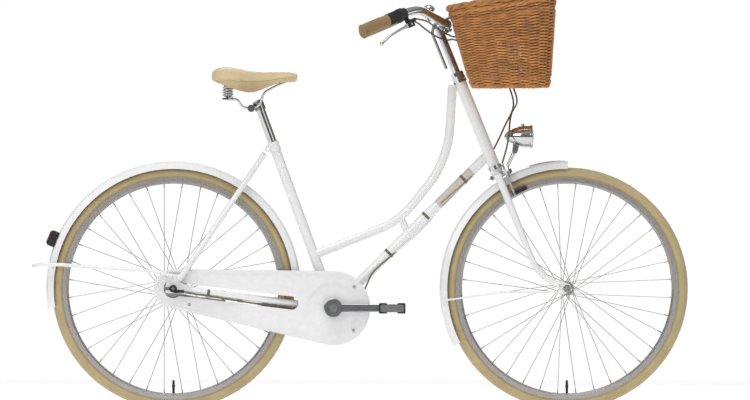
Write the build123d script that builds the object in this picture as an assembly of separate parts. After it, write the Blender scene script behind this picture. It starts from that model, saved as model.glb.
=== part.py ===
from build123d import *
from math import sin, cos, tan, atan2, radians, degrees, pi, sqrt, acos
import os

os.makedirs("parts", exist_ok=True)

# ---------------------------------------------------------------- driving sizes (mm)
wheelbase = 1138.0          # rear axle to front axle
tyre_radius = 350.0         # outside of the 28 inch tyre
tyre_width = 40.0
rim_radius = 322.0          # outside edge of the rim hooks
rim_inner_radius = 303.0
rim_width = 30.0
spoke_count = 36
spoke_radius = 1.0
hub_radius_rear = 26.0
hub_radius_front = 13.0
axle_radius = 5.0
axle_step = 0.5             # the axle ends are thinner than the thread by this
rear_spacing = 124.0        # between the inner faces of the rear dropouts
front_spacing = 100.0

bb_forward = 462.6          # bottom bracket ahead of the rear axle
bb_height = 293.6
seat_angle = 69.85          # degrees from the ground
head_angle = 68.0
fork_rake = 62.0            # axle ahead of the steering axis
seat_tube_length = 511.0
head_tube_low = 408.0       # along the steering axis from axle level
head_tube_high = 668.0
main_tube_radius = 14.3
top_tube_radius = 12.7
brace_radius = 10.0
head_tube_radius = 17.0
stay_tube_radius = 9.5      # chain stays
seat_stay_radius = 8.0
tube_wall = 1.4

steerer_radius = 12.7
seatpost_radius = 12.7
seatpost_top = 640.0        # along the seat tube from the bottom bracket
bar_radius = 11.1
grip_radius = 17.5
bar_half_width = 300.0      # to the end of the bar

crank_length = 170.0
ring_teeth = 38
sprocket_teeth = 19
chain_pitch = 12.7
chain_line = 44.0
case_outside = 54.5         # outer face of the chaincase, from the middle plane
case_inside = 33.0
case_wall = 1.2

saddle_length = 250.0
saddle_width = 205.0
basket_depth = 312.0        # front to back at the rim
basket_width = 360.0        # across at the rim

mudguard_radius = 368.0
mudguard_half_width = 27.0
mudguard_drop = 22.0
mudguard_wall = 1.2
hoop_back = 405.0           # rear hoop centreline behind the rear axle
hoop_radius = 5.0
cable_radius = 2.5

# clearances
running_fit = 0.05          # radial, every turning or sliding pair
side_gap = 0.5              # end gaps between parts that move past each other

rear_x = (hoop_back + hoop_radius - wheelbase - tyre_radius) / 2
bb_x = bb_forward
axle_z = tyre_radius

# ---------------------------------------------------------------- small helpers


def V(*p):
    return Vector(*p)


def save(name, shape, where=None):
    """Write one sub-part, moved from the rear-axle frame to the part's frame."""
    if isinstance(shape, (list, tuple)):
        shape = Compound([s for item in shape for s in item.solids()])
    if where is not None:
        shape = where * shape
    shape = Pos(rear_x, 0, 0) * shape
    solids = shape.solids()
    for s in solids:
        if not s.is_valid:
            print("NOT VALID", name)
    shape = solids[0] if len(solids) == 1 else Compound(solids)
    export_step(shape, "parts/" + name + ".step")
    print(name, len(solids), "solids", round(sum(s.volume for s in solids)))


def rod(a, b, r, r2=None):
    """Round bar from a to b; r2 is the radius at b when it tapers."""
    a, b = V(*a), V(*b)
    plane = Plane(origin=a, z_dir=(b - a).normalized())
    if r2 is None or abs(r2 - r) < 1e-6:
        return Solid.make_cylinder(r, (b - a).length, plane)
    return Solid.make_cone(r, r2, (b - a).length, plane)


def pipe(a, b, r, inner):
    return rod(a, b, r) - rod(a, b, inner)


def route(points, scale=0.45, limit=None):
    """Straight runs joined by the largest tangent arcs the runs allow."""
    pts = [V(*p) for p in points]
    radii = []
    for i in range(1, len(pts) - 1):
        u, w = pts[i] - pts[i - 1], pts[i + 1] - pts[i]
        turn = acos(max(-1, min(1, u.normalized().dot(w.normalized()))))
        r = scale * min(u.length, w.length) / tan(max(turn, 1e-4) / 2)
        radii.append(min(r, limit) if limit else r)
    return pts, radii


def bend(points, r, scale=0.45, limit=None, radii=None, inner=None):
    """Round bar swept along straight runs and tangent arcs."""
    pts, auto = route(points, scale, limit)
    line = FilletPolyline(*pts, radius=radii or auto)
    line = line.wire() if hasattr(line, "wire") else line
    start = Plane(origin=pts[0], z_dir=(pts[1] - pts[0]).normalized())
    out = sweep(start * Circle(r), path=line, transition=Transition.ROUND)
    if inner:
        out = out - sweep(start * Circle(inner), path=line, transition=Transition.ROUND)
    return out


def cable(points, r, label):
    pts, radii = route(points)
    print(label, "bend radii", [round(x) for x in radii])
    return bend(points, r)


def smooth(guide, step):
    """Even points along a smooth curve through the guide points."""
    g = [V(*p) for p in guide]
    g = [g[0] * 2 - g[1]] + g + [g[-1] * 2 - g[-2]]
    dense = []
    for i in range(1, len(g) - 2):
        for k in range(40):
            t = k / 40
            a, b, c, d = g[i - 1], g[i], g[i + 1], g[i + 2]
            dense.append((b * 2 + (c - a) * t + (a * 2 - b * 5 + c * 4 - d) * t ** 2
                          + (b * 3 - a - c * 3 + d) * t ** 3) * 0.5)
    dense.append(g[-2])
    total = sum((q - p).length for p, q in zip(dense, dense[1:]))
    n = max(2, round(total / step))
    out, run, want = [dense[0]], 0.0, total / n
    for p, q in zip(dense, dense[1:]):
        run += (q - p).length
        if run >= want * len(out) - 1e-6 and len(out) < n:
            out.append(q)
    out.append(dense[-1])
    return [tuple(p) for p in out]


def mirror_y(shape):
    return shape.mirror(Plane.XZ)


def ring(x, z, y0, y1, r, inner):
    return pipe((x, y0, z), (x, y1, z), r, inner)


def wheel_ring(profile, x, z):
    """Turn a closed outline of (radius, y) points about an axle at x, z."""
    face = make_face(Polyline(*[(p[0], p[1]) for p in profile], close=True))
    solid = revolve(Plane.XY * face, Axis.Y)
    return Pos(x, 0, z) * solid


# the steering frame: X forward, Y left, Z up the steering axis, origin at axle level
sh, ch = sin(radians(head_angle)), cos(radians(head_angle))
steer_foot = (wheelbase - fork_rake * sh, 0, axle_z - fork_rake * ch)
steer = Plane(origin=steer_foot, x_dir=(sh, 0, ch), z_dir=(-ch, 0, sh)).location


def from_steer(t, y, s):
    """Steering-frame point in the rear-axle frame."""
    return (steer_foot[0] + t * sh - s * ch, y, steer_foot[2] + t * ch + s * sh)


sa = radians(seat_angle)
seat_dir = V(-cos(sa), 0, sin(sa))
seat_fwd = V(sin(sa), 0, cos(sa))


def from_seat(u, y, f):
    """Point u along the seat tube from the bottom bracket, f ahead of its axis."""
    p = V(bb_x, y, bb_height) + seat_dir * u + seat_fwd * f
    return (p.X, p.Y, p.Z)


# ---------------------------------------------------------------- frame tubes
head_low = from_steer(0, 0, head_tube_low)
head_high = from_steer(0, 0, head_tube_high)
bb = (bb_x, 0, bb_height)
bb_half = 34.0
bb_radius = 20.0
seat_top = from_seat(seat_tube_length, 0, 0)

head_solid = rod(from_steer(0, 0, head_tube_low), from_steer(0, 0, head_tube_high), head_tube_radius)
bb_solid = rod((bb_x, -bb_half, bb_height), (bb_x, bb_half, bb_height), bb_radius)

head_tube = head_solid - rod(from_steer(0, 0, head_tube_low - 1),
                             from_steer(0, 0, head_tube_high + 1), head_tube_radius - 2)
bb_shell = bb_solid - rod((bb_x, -bb_half - 1, bb_height), (bb_x, bb_half + 1, bb_height), 17.0)

seat_solid = rod(bb, seat_top, main_tube_radius)
seat_bore = rod(bb, from_seat(seat_tube_length + 5, 0, 0), seatpost_radius + running_fit)
# clamp lug at the top of the seat tube, split at the back
clamp_u = seat_tube_length - 14
clamp_back = seatpost_radius + 7.0
lug = rod(from_seat(clamp_u - 14, 0, 0), seat_top, main_tube_radius + 2.2)
ear_plane = Plane(origin=from_seat(clamp_u, 0, -clamp_back / 2), x_dir=tuple(seat_fwd),
                  z_dir=tuple(seat_dir))
ears = ear_plane.location * Box(clamp_back, 18, 20)
ears = ears + rod(from_seat(clamp_u, -9, -clamp_back), from_seat(clamp_u, 9, -clamp_back), 9.0)
bolt_hole = rod(from_seat(clamp_u, -40, -clamp_back), from_seat(clamp_u, 40, -clamp_back), 4.0)
split = Plane(origin=from_seat(clamp_u + 6, 0, -clamp_back), x_dir=tuple(seat_fwd),
              z_dir=tuple(seat_dir)).location * Box(2 * clamp_back, 2.0, 60)
seat_tube = (seat_solid + lug + ears) - seat_bore - bb_solid - bolt_hole - split

# down tube, straight from the bottom bracket to the head tube
down_top_s = 379.0 + 2 * main_tube_radius + 38.0
down_end = from_steer(0, 0, down_top_s)
down_solid = rod(bb, down_end, main_tube_radius)
down_tube = down_solid - rod(bb, down_end, main_tube_radius - tube_wall) - bb_solid - head_solid \
    - seat_solid
down_tube = max(down_tube.solids(), key=lambda s: s.volume)

# top tube, one long sweep from the top of the head tube down and back to the seat tube
top_points = [
    (wheelbase - 330.5, 0, 938.0),
    (wheelbase - 344.5, 0, 719.5),
    (wheelbase - 483.8, 0, 545.3),
    from_seat(163.0, 0, 0),
]
top_radii = [300.0, 240.0]
top_solid = bend(top_points, top_tube_radius, radii=top_radii)
top_tube = bend(top_points, top_tube_radius, radii=top_radii,
                inner=top_tube_radius - tube_wall) - head_solid - seat_solid
top_tube = max(top_tube.solids(), key=lambda s: s.volume)

# short brace between the two tubes
down_unit = (V(*down_end) - V(*bb)).normalized()
brace_mid = V(*bb) + down_unit * 305.0
brace = bend([(bb_x + 193.0, 0, bb_height + 262.0), (bb_x + 207.0, 0, bb_height + 236.0),
              tuple(brace_mid)], brace_radius, limit=60.0)
brace = brace - top_solid - down_solid
brace = max(brace.solids(), key=lambda s: s.volume)

# ---------------------------------------------------------------- rear triangle
drop_in = rear_spacing / 2
drop_out = drop_in + 5.0
drop_mid = drop_in + 2.5


def dropout(side):
    """Plate with a slot that opens to the rear, and tabs for both stays."""
    y0 = side * drop_in if side > 0 else -drop_out
    plate = Plane.XZ * make_face(Polyline((-22, -13), (-22, 6), (-18, 28), (-12, 44), (12, 42),
                                          (26, 34), (20, 18), (40, 10), (62, 3), (60, -17),
                                          (20, -14), close=True))
    solid = extrude(plate, 5.0)
    solid = Pos(0, y0 + 5.0, axle_z) * solid
    slot = Pos(-20, y0 + 2.5, axle_z) * Box(40, 12, 2 * axle_radius + 0.2)
    eye = rod((0, y0 - 3, axle_z), (0, y0 + 8, axle_z), axle_radius + 0.1)
    return solid - slot - eye


chain_a = V(52, drop_mid, axle_z - 52 * (axle_z - bb_height) / bb_forward)
chain_b = V(bb_x - 6, 23.0, bb_height + 1)
stay_a = V(17, drop_mid, axle_z + 25)
seat_ear = V(*from_seat(clamp_u, 11.5, -clamp_back))
stay_unit = (V(seat_ear.X, 0, seat_ear.Z) - V(stay_a.X, 0, stay_a.Z))


def on_stay(f, y):
    p = V(stay_a.X, 0, stay_a.Z) + stay_unit * f
    return (p.X, y, p.Z)


def chain_stay(side):
    a = (chain_a.X, side * chain_a.Y, chain_a.Z)
    b = (chain_b.X, side * chain_b.Y, chain_b.Z)
    tube = rod(a, b, stay_tube_radius) - bb_solid - seat_solid
    tube = max(tube.solids(), key=lambda s: s.volume)
    return tube - dropout(side)


def seat_stay(side):
    pts = [(stay_a.X, side * drop_mid, stay_a.Z), on_stay(0.13, side * 64.2), on_stay(0.45, side * 52.0), on_stay(0.78, side * 41.0),
           on_stay(0.97, side * 17.5)]
    tube = bend(pts, seat_stay_radius, limit=150.0)
    y0 = 9.0 if side > 0 else -14.0
    tip = rod((seat_ear.X, y0, seat_ear.Z), (seat_ear.X, y0 + 5.0, seat_ear.Z), 10.0)
    tube = tube + tip
    # flat inner face where the tip is bolted to the lug
    face = side * 9.0 - side * 20.0
    flat = Pos(seat_ear.X, face, seat_ear.Z) * Box(60, 40, 60)
    outer = Pos(seat_ear.X, side * 34.0, seat_ear.Z) * (Rot(0, 0, 0) * Box(26, 40, 30))
    hole = rod((seat_ear.X, -40, seat_ear.Z), (seat_ear.X, 40, seat_ear.Z), 4.0)
    tube = tube - flat - outer - hole - dropout(side) - seat_solid - lug
    return max(tube.solids(), key=lambda s: s.volume)


bridge_x = bb_x - 81.0
bridge_z = axle_z - bridge_x * (axle_z - bb_height) / bb_forward + 3


# ---------------------------------------------------------------- chaincase and chain
case_rear_r = 56.0
case_front_r = 107.0


def pitch_radius(teeth):
    return chain_pitch / 2 / sin(pi / teeth)


def tangent_loop(r1, r2, y=0.0):
    """Closed outline round two circles: r1 at the rear axle and r2 at the bracket."""
    dx, dz = bb_x, bb_height - axle_z
    dist = sqrt(dx * dx + dz * dz)
    base = atan2(dz, dx)
    tilt = acos((r1 - r2) / dist)
    up, down = base + tilt, base - tilt
    a1 = (r1 * cos(up), axle_z + r1 * sin(up))
    b1 = (bb_x + r2 * cos(up), bb_height + r2 * sin(up))
    a2 = (r1 * cos(down), axle_z + r1 * sin(down))
    b2 = (bb_x + r2 * cos(down), bb_height + r2 * sin(down))
    am = (r1 * cos(base + pi), axle_z + r1 * sin(base + pi))
    bm = (bb_x + r2 * cos(base), bb_height + r2 * sin(base))
    return a1, b1, bm, b2, a2, am, up, down


def loop_slab(r1, r2, y0, y1):
    a1, b1, bm, b2, a2, am, up, down = tangent_loop(r1, r2)
    edges = [Line(a1, b1), ThreePointArc(b1, bm, b2), Line(b2, a2), ThreePointArc(a2, am, a1)]
    face = make_face(edges)
    solid = extrude(Plane.XZ * face, y1 - y0)
    return Pos(0, y1, 0) * solid


def slot_cut(y0, y1, hub_r, half, x_end):
    """Round hole for the hub end and a long slot along the chain stay."""
    ang = atan2(bb_height - axle_z, bb_forward)
    hole = rod((0, y0, axle_z), (0, y1, axle_z), hub_r)
    length = x_end / cos(ang)
    bar = Plane(origin=(0, (y0 + y1) / 2, axle_z), x_dir=(cos(ang), 0, sin(ang)),
                z_dir=(-sin(ang), 0, cos(ang))).location * (Pos(length / 2, 0, 0) * Box(length, y1 - y0, 2 * half))
    end = rod((x_end, y0, axle_z + length * sin(ang)), (x_end, y1, axle_z + length * sin(ang)), half)
    return hole + bar + end


case_seam = chain_line
outer_shell = loop_slab(case_rear_r, case_front_r, -case_outside, -case_seam) \
    - loop_slab(case_rear_r - case_wall, case_front_r - case_wall, -case_outside + case_wall, -case_seam + 1)
slot_end_x = bb_forward - 120.0
slot_outer = slot_cut(-case_outside - 9, -case_outside + 4, 27.5, 19.0, slot_end_x)
crank_hole = rod((bb_x, -case_outside - 9, bb_height), (bb_x, -case_outside + 4, bb_height), 24.0)
rim_bead = loop_slab(case_rear_r - 4.0, case_front_r - 4.0, -case_outside - 1.6, -case_outside) \
    - loop_slab(case_rear_r - 9.0, case_front_r - 9.0, -case_outside - 3, -case_outside + 2)
boss = rod((bb_x, -case_outside - 1.6, bb_height), (bb_x, -case_outside, bb_height), 78.0) \
    - rod((bb_x, -case_outside - 3, bb_height), (bb_x, -case_outside + 2, bb_height), 73.0)
chaincase_outer = outer_shell + rim_bead + boss - slot_outer - crank_hole

inner_shell = loop_slab(case_rear_r, case_front_r, -case_seam, -case_inside) \
    - loop_slab(case_rear_r - case_wall, case_front_r - case_wall, -case_seam - 1, -case_inside - case_wall)
inner_cut = slot_cut(-case_inside - 4, -case_inside + 9, 40.0, 25.0, bb_forward - 20)
bb_hole = rod((bb_x, -case_inside - 4, bb_height), (bb_x, -case_inside + 9, bb_height), bb_radius + 0.5)
stay_relief = rod((chain_a.X, -chain_a.Y, chain_a.Z), (chain_b.X, -chain_b.Y, chain_b.Z),
                  stay_tube_radius + 1.0)
chaincase_inner = inner_shell - inner_cut - bb_hole - stay_relief
chaincase_inner = max(chaincase_inner.solids(), key=lambda s: s.volume)


def case_screws():
    spots = [(-4, axle_z + 37), (46, axle_z - 46), (bb_x + 60, bb_height + 62), (bb_x + 58, bb_height - 64)]
    out = []
    for x, z in spots:
        head = rod((x, -case_outside - 2.5, z), (x, -case_outside, z), 4.5)
        head = head - Pos(x, -case_outside - 2.5, z) * Box(7, 1.6, 1.2)
        out.append(head)
    return out


def gear(teeth, thickness, y, bore, spokes, phase):
    """Toothed disc on the chain line; the gaps sit on the pitch circle."""
    rp = pitch_radius(teeth)
    disc = rod((0, y - thickness / 2, 0), (0, y + thickness / 2, 0), rp + 3.2)
    gaps = []
    for i in range(teeth):
        a = radians(phase) + 2 * pi * i / teeth
        gaps.append(rod((rp * cos(a), y - thickness, rp * sin(a)),
                        (rp * cos(a), y + thickness, rp * sin(a)), 4.25))
    # the crowns of the teeth are cut back between rollers
    for i in range(teeth):
        a = radians(phase) + 2 * pi * i / teeth
        q = rp + 5.2
        gaps.append(rod((q * cos(a), y - thickness, q * sin(a)),
                        (q * cos(a), y + thickness, q * sin(a)), 4.6))
    disc = disc - gaps
    disc = disc - rod((0, y - thickness, 0), (0, y + thickness, 0), bore)
    if spokes:
        for i in range(spokes):
            a = 2 * pi * (i + 0.5) / spokes
            r = rp * 0.62
            disc = disc - rod((r * cos(a), y - thickness, r * sin(a)),
                              (r * cos(a), y + thickness, r * sin(a)), rp * 0.2)
    return disc


def chain_solids():
    """Rollers on the two wheels and the straight runs, between two plate bands."""
    r1, r2 = pitch_radius(sprocket_teeth), pitch_radius(ring_teeth)
    a1, b1, bm, b2, a2, am, up, down = tangent_loop(r1, r2)
    pts = []
    step2, step1 = 2 * pi / ring_teeth, 2 * pi / sprocket_teeth
    n2 = int((up - down) / step2)
    ring_pts = [(bb_x + r2 * cos(up - i * step2), bb_height + r2 * sin(up - i * step2))
                for i in range(n2 + 1)]
    wrap1 = 2 * pi - (up - down)
    n1 = int(wrap1 / step1)
    rear_pts = [(r1 * cos(up + i * step1), axle_z + r1 * sin(up + i * step1)) for i in range(n1 + 1)]
    rear_pts.reverse()

    def between(p, q):
        length = sqrt((q[0] - p[0]) ** 2 + (q[1] - p[1]) ** 2)
        n = round(length / chain_pitch)
        return [(p[0] + (q[0] - p[0]) * i / n, p[1] + (q[1] - p[1]) * i / n) for i in range(1, n)]

    loop = ring_pts + between(ring_pts[-1], rear_pts[0]) + rear_pts + between(rear_pts[-1], ring_pts[0])
    y = -chain_line
    rollers = [rod((x, y - 2.6, z), (x, y + 2.6, z), 3.9) for x, z in loop]
    bands = []
    for lo, hi in ((y - 4.2, y - 2.6), (y + 2.6, y + 4.2)):
        band = loop_slab(r1 + 4.2, r2 + 4.2, lo, hi) - loop_slab(r1 - 4.2, r2 - 4.2, lo - 1, hi + 1)
        bands.append(band)
    body = bands[0].fuse(bands[1], *rollers)
    straight = between(ring_pts[-1], rear_pts[0]) + between(rear_pts[-1], ring_pts[0])
    relief = [rod((x, y - 2.6, z), (x, y + 2.6, z), 4.2) for x, z in straight]
    return body, relief, degrees(up)


chain, tooth_relief, gear_phase = chain_solids()
chainring = Pos(bb_x, 0, bb_height) * gear(ring_teeth, 2.4, -chain_line, 17.5, 5, gear_phase) - tooth_relief
sprocket = Pos(0, 0, axle_z) * gear(sprocket_teeth, 2.4, -chain_line, 17.0, 0, gear_phase) - tooth_relief

# ---------------------------------------------------------------- mudguards


def guard_profile(radius, half, drop, wall):
    """Half-round section with its crown at the outside."""
    crown = radius
    edge = radius - drop
    outer = [(edge, -half), (crown - 5, -half * 0.72), (crown, -half * 0.3), (crown, half * 0.3),
             (crown - 5, half * 0.72), (edge, half)]
    inner = [(edge, half - wall), (crown - 5 - wall, half * 0.72 - wall * 0.6),
             (crown - wall, half * 0.3 - 0.2), (crown - wall, -half * 0.3 + 0.2),
             (crown - 5 - wall, -half * 0.72 + wall * 0.6), (edge, -half + wall)]
    return outer + inner


def guard(radius, start, end, x, z):
    """Mudguard from start to end, degrees counted from forward, over the top."""
    prof = guard_profile(radius, mudguard_half_width, mudguard_drop, mudguard_wall)
    face = make_face(Polyline(*prof, close=True))
    solid = revolve(Plane.XY * face, Axis.Y, revolution_arc=end - start)
    probe = solid.center()
    solid = Rot(0, -start, 0) * solid if probe.Z > 0 else Rot(0, -end, 0) * solid
    return Pos(x, 0, z) * solid


rear_guard = guard(mudguard_radius, -3.4, 189.0, 0, axle_z)
front_guard = guard(mudguard_radius, 89.5, 207.0, wheelbase, axle_z)


def arc_bar(radius, r, start, end, x, z):
    """Round bar bent on a circle about an axle."""
    a, b, m = radians(start), radians(end), radians((start + end) / 2)
    p = [(x + radius * cos(t), 0, z + radius * sin(t)) for t in (a, m, b)]
    line = ThreePointArc(*p)
    return sweep(Plane(origin=p[0], z_dir=(-sin(a), 0, cos(a))) * Circle(r), path=line)


crest = arc_bar(mudguard_radius + 1.2, 2.6, 91.0, 107.0, wheelbase, axle_z)
crest = crest - rod((wheelbase, -60, axle_z), (wheelbase, 60, axle_z), mudguard_radius)



def stay_bridges(stays, seat_stays):
    """Cross bars between the stays that carry the rear mudguard."""
    low = rod((bridge_x, -32, bridge_z), (bridge_x, 32, bridge_z), 5.5)
    low = low + rod((bridge_x, 0, bridge_z), (mudguard_radius - 2.0, 0, axle_z - 22.0), 3.5)
    m = on_stay(0.76, 0)
    high = rod((m[0], -44, m[2]), (m[0], 44, m[2]), 7.0)
    r = sqrt(m[0] ** 2 + (m[2] - axle_z) ** 2)
    k = (mudguard_radius - 3.0) / r
    high = high + rod(m, (m[0] * k, 0, axle_z + (m[2] - axle_z) * k), 4.0)
    low = (low - rear_guard - stays).solids()
    high = (high - rear_guard - seat_stays).solids()
    return [max(low, key=lambda s: s.volume), max(high, key=lambda s: s.volume)]


# ---------------------------------------------------------------- rear hoop, lamp, axle
hoop_y = drop_out + hoop_radius + 0.2
hoop_side = 44.0


def rear_hoop():
    z0 = axle_z
    half = [(-4, -hoop_y, z0 + 36), (-38, -hoop_y, z0 + 48), (-84, -hoop_y + 3, z0 + 52),
            (-140, -hoop_y + 11, z0 + 56), (-200, -hoop_side - 8, z0 + 60),
            (-262, -hoop_side - 2, z0 + 64), (-322, -hoop_side, z0 + 69),
            (-380, -hoop_side + 5, z0 + 70), (-hoop_back, -hoop_side + 30, z0 + 65)]
    other = [(x, -y, z) for x, y, z in reversed(half)]
    pts = half + other
    hoop = bend(pts, hoop_radius, limit=60.0)
    for side in (-1, 1):
        x, z = -sqrt(357.0 ** 2 - 69.0 ** 2), z0 + 69.4
        hoop = hoop + rod((x, side * 16.0, z), (x, side * (hoop_side - 1), z), 3.5)
    hoop = hoop - rear_guard
    return max(hoop.solids(), key=lambda s: s.volume)



# tail lamp on the crown of the rear mudguard
lamp_angle = 157.5
lamp_at = Plane(origin=(mudguard_radius * cos(radians(lamp_angle)), 0,
                        axle_z + mudguard_radius * sin(radians(lamp_angle))),
                x_dir=(0, 1, 0), z_dir=(cos(radians(lamp_angle)), 0, sin(radians(lamp_angle)))).location
lamp_block = lamp_at * (Pos(0, 0, 5) * Box(42, 46, 30))
lamp_block = fillet(lamp_block.edges(), 4.0)
tail_lamp = lamp_block - rod((0, -60, axle_z), (0, 60, axle_z), mudguard_radius)
lens_pocket = lamp_at * (Pos(0, 0, 18) * Box(34, 38, 8))
tail_lamp = tail_lamp - lens_pocket
tail_lens = lamp_at * (Pos(0, 0, 19) * Box(34, 38, 10))
tail_lens = fillet(tail_lens.faces().sort_by(Axis((0, 0, 0), (cos(radians(lamp_angle)), 0,
                   sin(radians(lamp_angle)))))[-1].edges(), 3.0)

# ---------------------------------------------------------------- wheels
flange_hole = 3.5           # spoke holes inside the flange edge


def tyre(x):
    half = tyre_width / 2 - 2.4
    edge = tyre_radius - 26.5
    outer = [(edge - 7.5, 12.9), (edge - 1.2, 12.9), (edge, half)]
    line = [Polyline(*outer), ThreePointArc((edge, half), (tyre_radius, 0), (edge, -half)),
            Polyline((edge, -half), (edge - 1.2, -12.9), (edge - 7.5, -12.9), (edge - 7.5, -10.2),
                     (edge - 1.0, -10.2), (edge + 1.0, -half + 3.0)),
            ThreePointArc((edge + 1.0, -half + 3.0), (tyre_radius - 3.5, 0), (edge + 1.0, half - 3.0)),
            Polyline((edge + 1.0, half - 3.0), (edge - 1.0, 10.2), (edge - 7.5, 10.2), (edge - 7.5, 12.9))]
    return Pos(x, 0, axle_z) * revolve(Plane.XY * make_face(line), Axis.Y)


def spoke_lines(flange_r, flange_y, thick):
    """Start, end and pin of every spoke, crossing three others on its side."""
    out = []
    per_side = spoke_count // 2
    step = 2 * pi / per_side
    hole_r = flange_r - flange_hole
    for side in (-1, 1):
        shift = step / 4 if side < 0 else 3 * step / 4
        for k in range(per_side):
            lead = 1 if k % 2 == 0 else -1
            a = shift + k * step
            b = a + lead * 3 * step
            y = side * (flange_y + lead * (thick / 2 + spoke_radius + 0.8))
            start = (hole_r * cos(a), y, hole_r * sin(a))
            far = rim_inner_radius + 2.6
            end = (far * cos(b), side * 2.0, far * sin(b))
            far_pin = side * (flange_y - lead * (thick / 2 + 1.3))
            out.append((start, end, far_pin))
    return out


def spokes(x, flange_r, flange_y, thick):
    out = []
    for start, end, pin_y in spoke_lines(flange_r, flange_y, thick):
        a, b = V(*start), V(*end)
        unit = (b - a).normalized()
        s = rod(a, b, spoke_radius)
        s = s + rod(b - unit * 14.0, b, 1.9)
        s = s + rod((a.X, a.Y, a.Z), (a.X, pin_y, a.Z), 1.05)
        tip = 1.3 if pin_y > a.Y else -1.3
        s = s + rod((a.X, pin_y - tip * 0.9, a.Z), (a.X, pin_y, a.Z), 2.1)
        s = s + Pos(a.X, a.Y, a.Z) * Sphere(spoke_radius)
        out.append(Pos(x, 0, axle_z) * s)
    return out


def rim(x, flange_r, flange_y, thick):
    w = rim_width / 2
    r0, r1 = rim_inner_radius, rim_radius
    prof = [(r1, w), (r0 + 6, w), (r0, w - 7), (r0, -w + 7), (r0 + 6, -w), (r1, -w), (r1, -w + 2),
            (r0 + 7, -w + 2), (r0 + 2, -w + 8), (r0 + 2, w - 8), (r0 + 7, w - 2), (r1, w - 2)]
    solid = revolve(Plane.XY * make_face(Polyline(*prof, close=True)), Axis.Y)
    holes = []
    for start, end, pin_y in spoke_lines(flange_r, flange_y, thick):
        a, b = V(*start), V(*end)
        unit = (b - a).normalized()
        holes.append(rod(b - unit * 14.0, b + unit * 3, 1.95))
    v = radians(-90)
    holes.append(rod(((r0 - 5) * cos(v), 0, (r0 - 5) * sin(v)), ((r0 + 6) * cos(v), 0, (r0 + 6) * sin(v)), 4.2))
    return Pos(x, 0, axle_z) * (solid - holes)


def hub(x, barrel, flange_r, flange_y, thick, half, bore):
    body = rod((0, -half, 0), (0, half, 0), barrel * 0.72) + rod((0, -flange_y, 0), (0, flange_y, 0), barrel)
    for side in (-1, 1):
        y = side * flange_y
        body = body + rod((0, y - thick / 2, 0), (0, y + thick / 2, 0), flange_r)
    holes = []
    for start, end, pin_y in spoke_lines(flange_r, flange_y, thick):
        holes.append(rod((start[0], start[1], start[2]), (start[0], pin_y, start[2]), 1.2))
    body = body - holes - rod((0, -half - 1, 0), (0, half + 1, 0), bore)
    return Pos(x, 0, axle_z) * body


def valve(x):
    r0 = rim_inner_radius
    z = axle_z - r0
    v = rod((x, 0, z + 34.0), (x, 0, z - 3.5), 3.8) + rod((x, 0, z + 22.0), (x, 0, z + 20.0), 5.4)
    v = v + rod((x, 0, z + 38.0), (x, 0, z + 34.0), 3.0)
    return v


def hex_nut(x, z, y0, y1, across, bore):
    face = RegularPolygon(across / 2 / cos(pi / 6), 6)
    lo, hi = min(y0, y1), max(y0, y1)
    solid = Pos(x, hi, z) * extrude(Plane.XZ * face, hi - lo)
    return solid - rod((x, lo - 1, z), (x, hi + 1, z), bore)


rear_flange = (33.0, 25.0, 2.6)
front_flange = (20.0, 31.0, 2.4)
rear_hub_half = 37.0
front_hub_half = front_spacing / 2 - 8.0


def axle_set(x, inner, plate, r, cone_left, cone_right, reach, plain_ends):
    """Axle with cones, washers and nuts, all threaded on it; its plain ends are turned down past the nuts."""
    axle = rod((x, -inner - reach, axle_z), (x, inner + reach, axle_z), r)
    for side in plain_ends:
        face = inner + plate + 11.0
        axle = axle - ring(x, axle_z, side * face, side * (inner + reach + 1.0), r + 1.0, r - axle_step)
        axle = axle + rod((x, side * face, axle_z), (x, side * (face + axle_step), axle_z), r, r - axle_step)
    out = [axle]
    for side, start in ((1, cone_left), (-1, cone_right)):
        out.append(ring(x, axle_z, side * start, side * inner, 9.0, r))
        out.append(ring(x, axle_z, side * (inner + plate), side * (inner + plate + 2.0), 11.0, r))
        out.append(hex_nut(x, axle_z, side * (inner + plate + 2.0), side * (inner + plate + 11.0), 17.0, r))
    return out


rear_axle = axle_set(0, drop_in, 5.0, axle_radius, rear_hub_half + side_gap, 51.0, 24.0, (1,))
front_axle_r = 4.5
front_axle = axle_set(wheelbase, front_spacing / 2, 5.0, front_axle_r, front_hub_half + side_gap,
                      front_hub_half + side_gap, 22.0, (1, -1))

# sprocket on its driver, which turns on the axle beside the hub shell
driver = ring(0, axle_z, -50.5, -rear_hub_half - 0.7, 17.0, axle_radius + running_fit)
rear_sprocket = sprocket + driver

# coaster brake arm along the left chain stay
arm_plate = [(-12, 12), (12, 12), (16, -14), (60, -23), (150, -34), (150, -45), (12, -26), (-12, -14)]
coaster_arm = Pos(0, drop_in - 1.5, axle_z) * extrude(Plane.XZ * make_face(Polyline(*arm_plate, close=True)), 3.0)
coaster_arm = coaster_arm - rod((0, 50, axle_z), (0, 70, axle_z), 9.05)
strap_a, strap_b = V(chain_a.X, chain_a.Y, chain_a.Z), V(chain_b.X, chain_b.Y, chain_b.Z)
strap_u = (strap_b - strap_a).normalized()
strap_m = strap_a + strap_u * 92.0
strap = rod(strap_m - strap_u * 5, strap_m + strap_u * 5, stay_tube_radius + 1.3)
strap = strap + Pos(strap_m.X, drop_in - 0.4, strap_m.Z - 16) * Box(10, 2.2, 22)
strap = strap + rod((strap_m.X, drop_in - 6, strap_m.Z - 22), (strap_m.X, drop_in + 3, strap_m.Z - 22), 2.5)
strap = strap - rod(strap_m - strap_u * 20, strap_m + strap_u * 20, stay_tube_radius)
coaster_arm = coaster_arm - rod((strap_m.X, 40, strap_m.Z - 22), (strap_m.X, 80, strap_m.Z - 22), 2.5)

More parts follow.
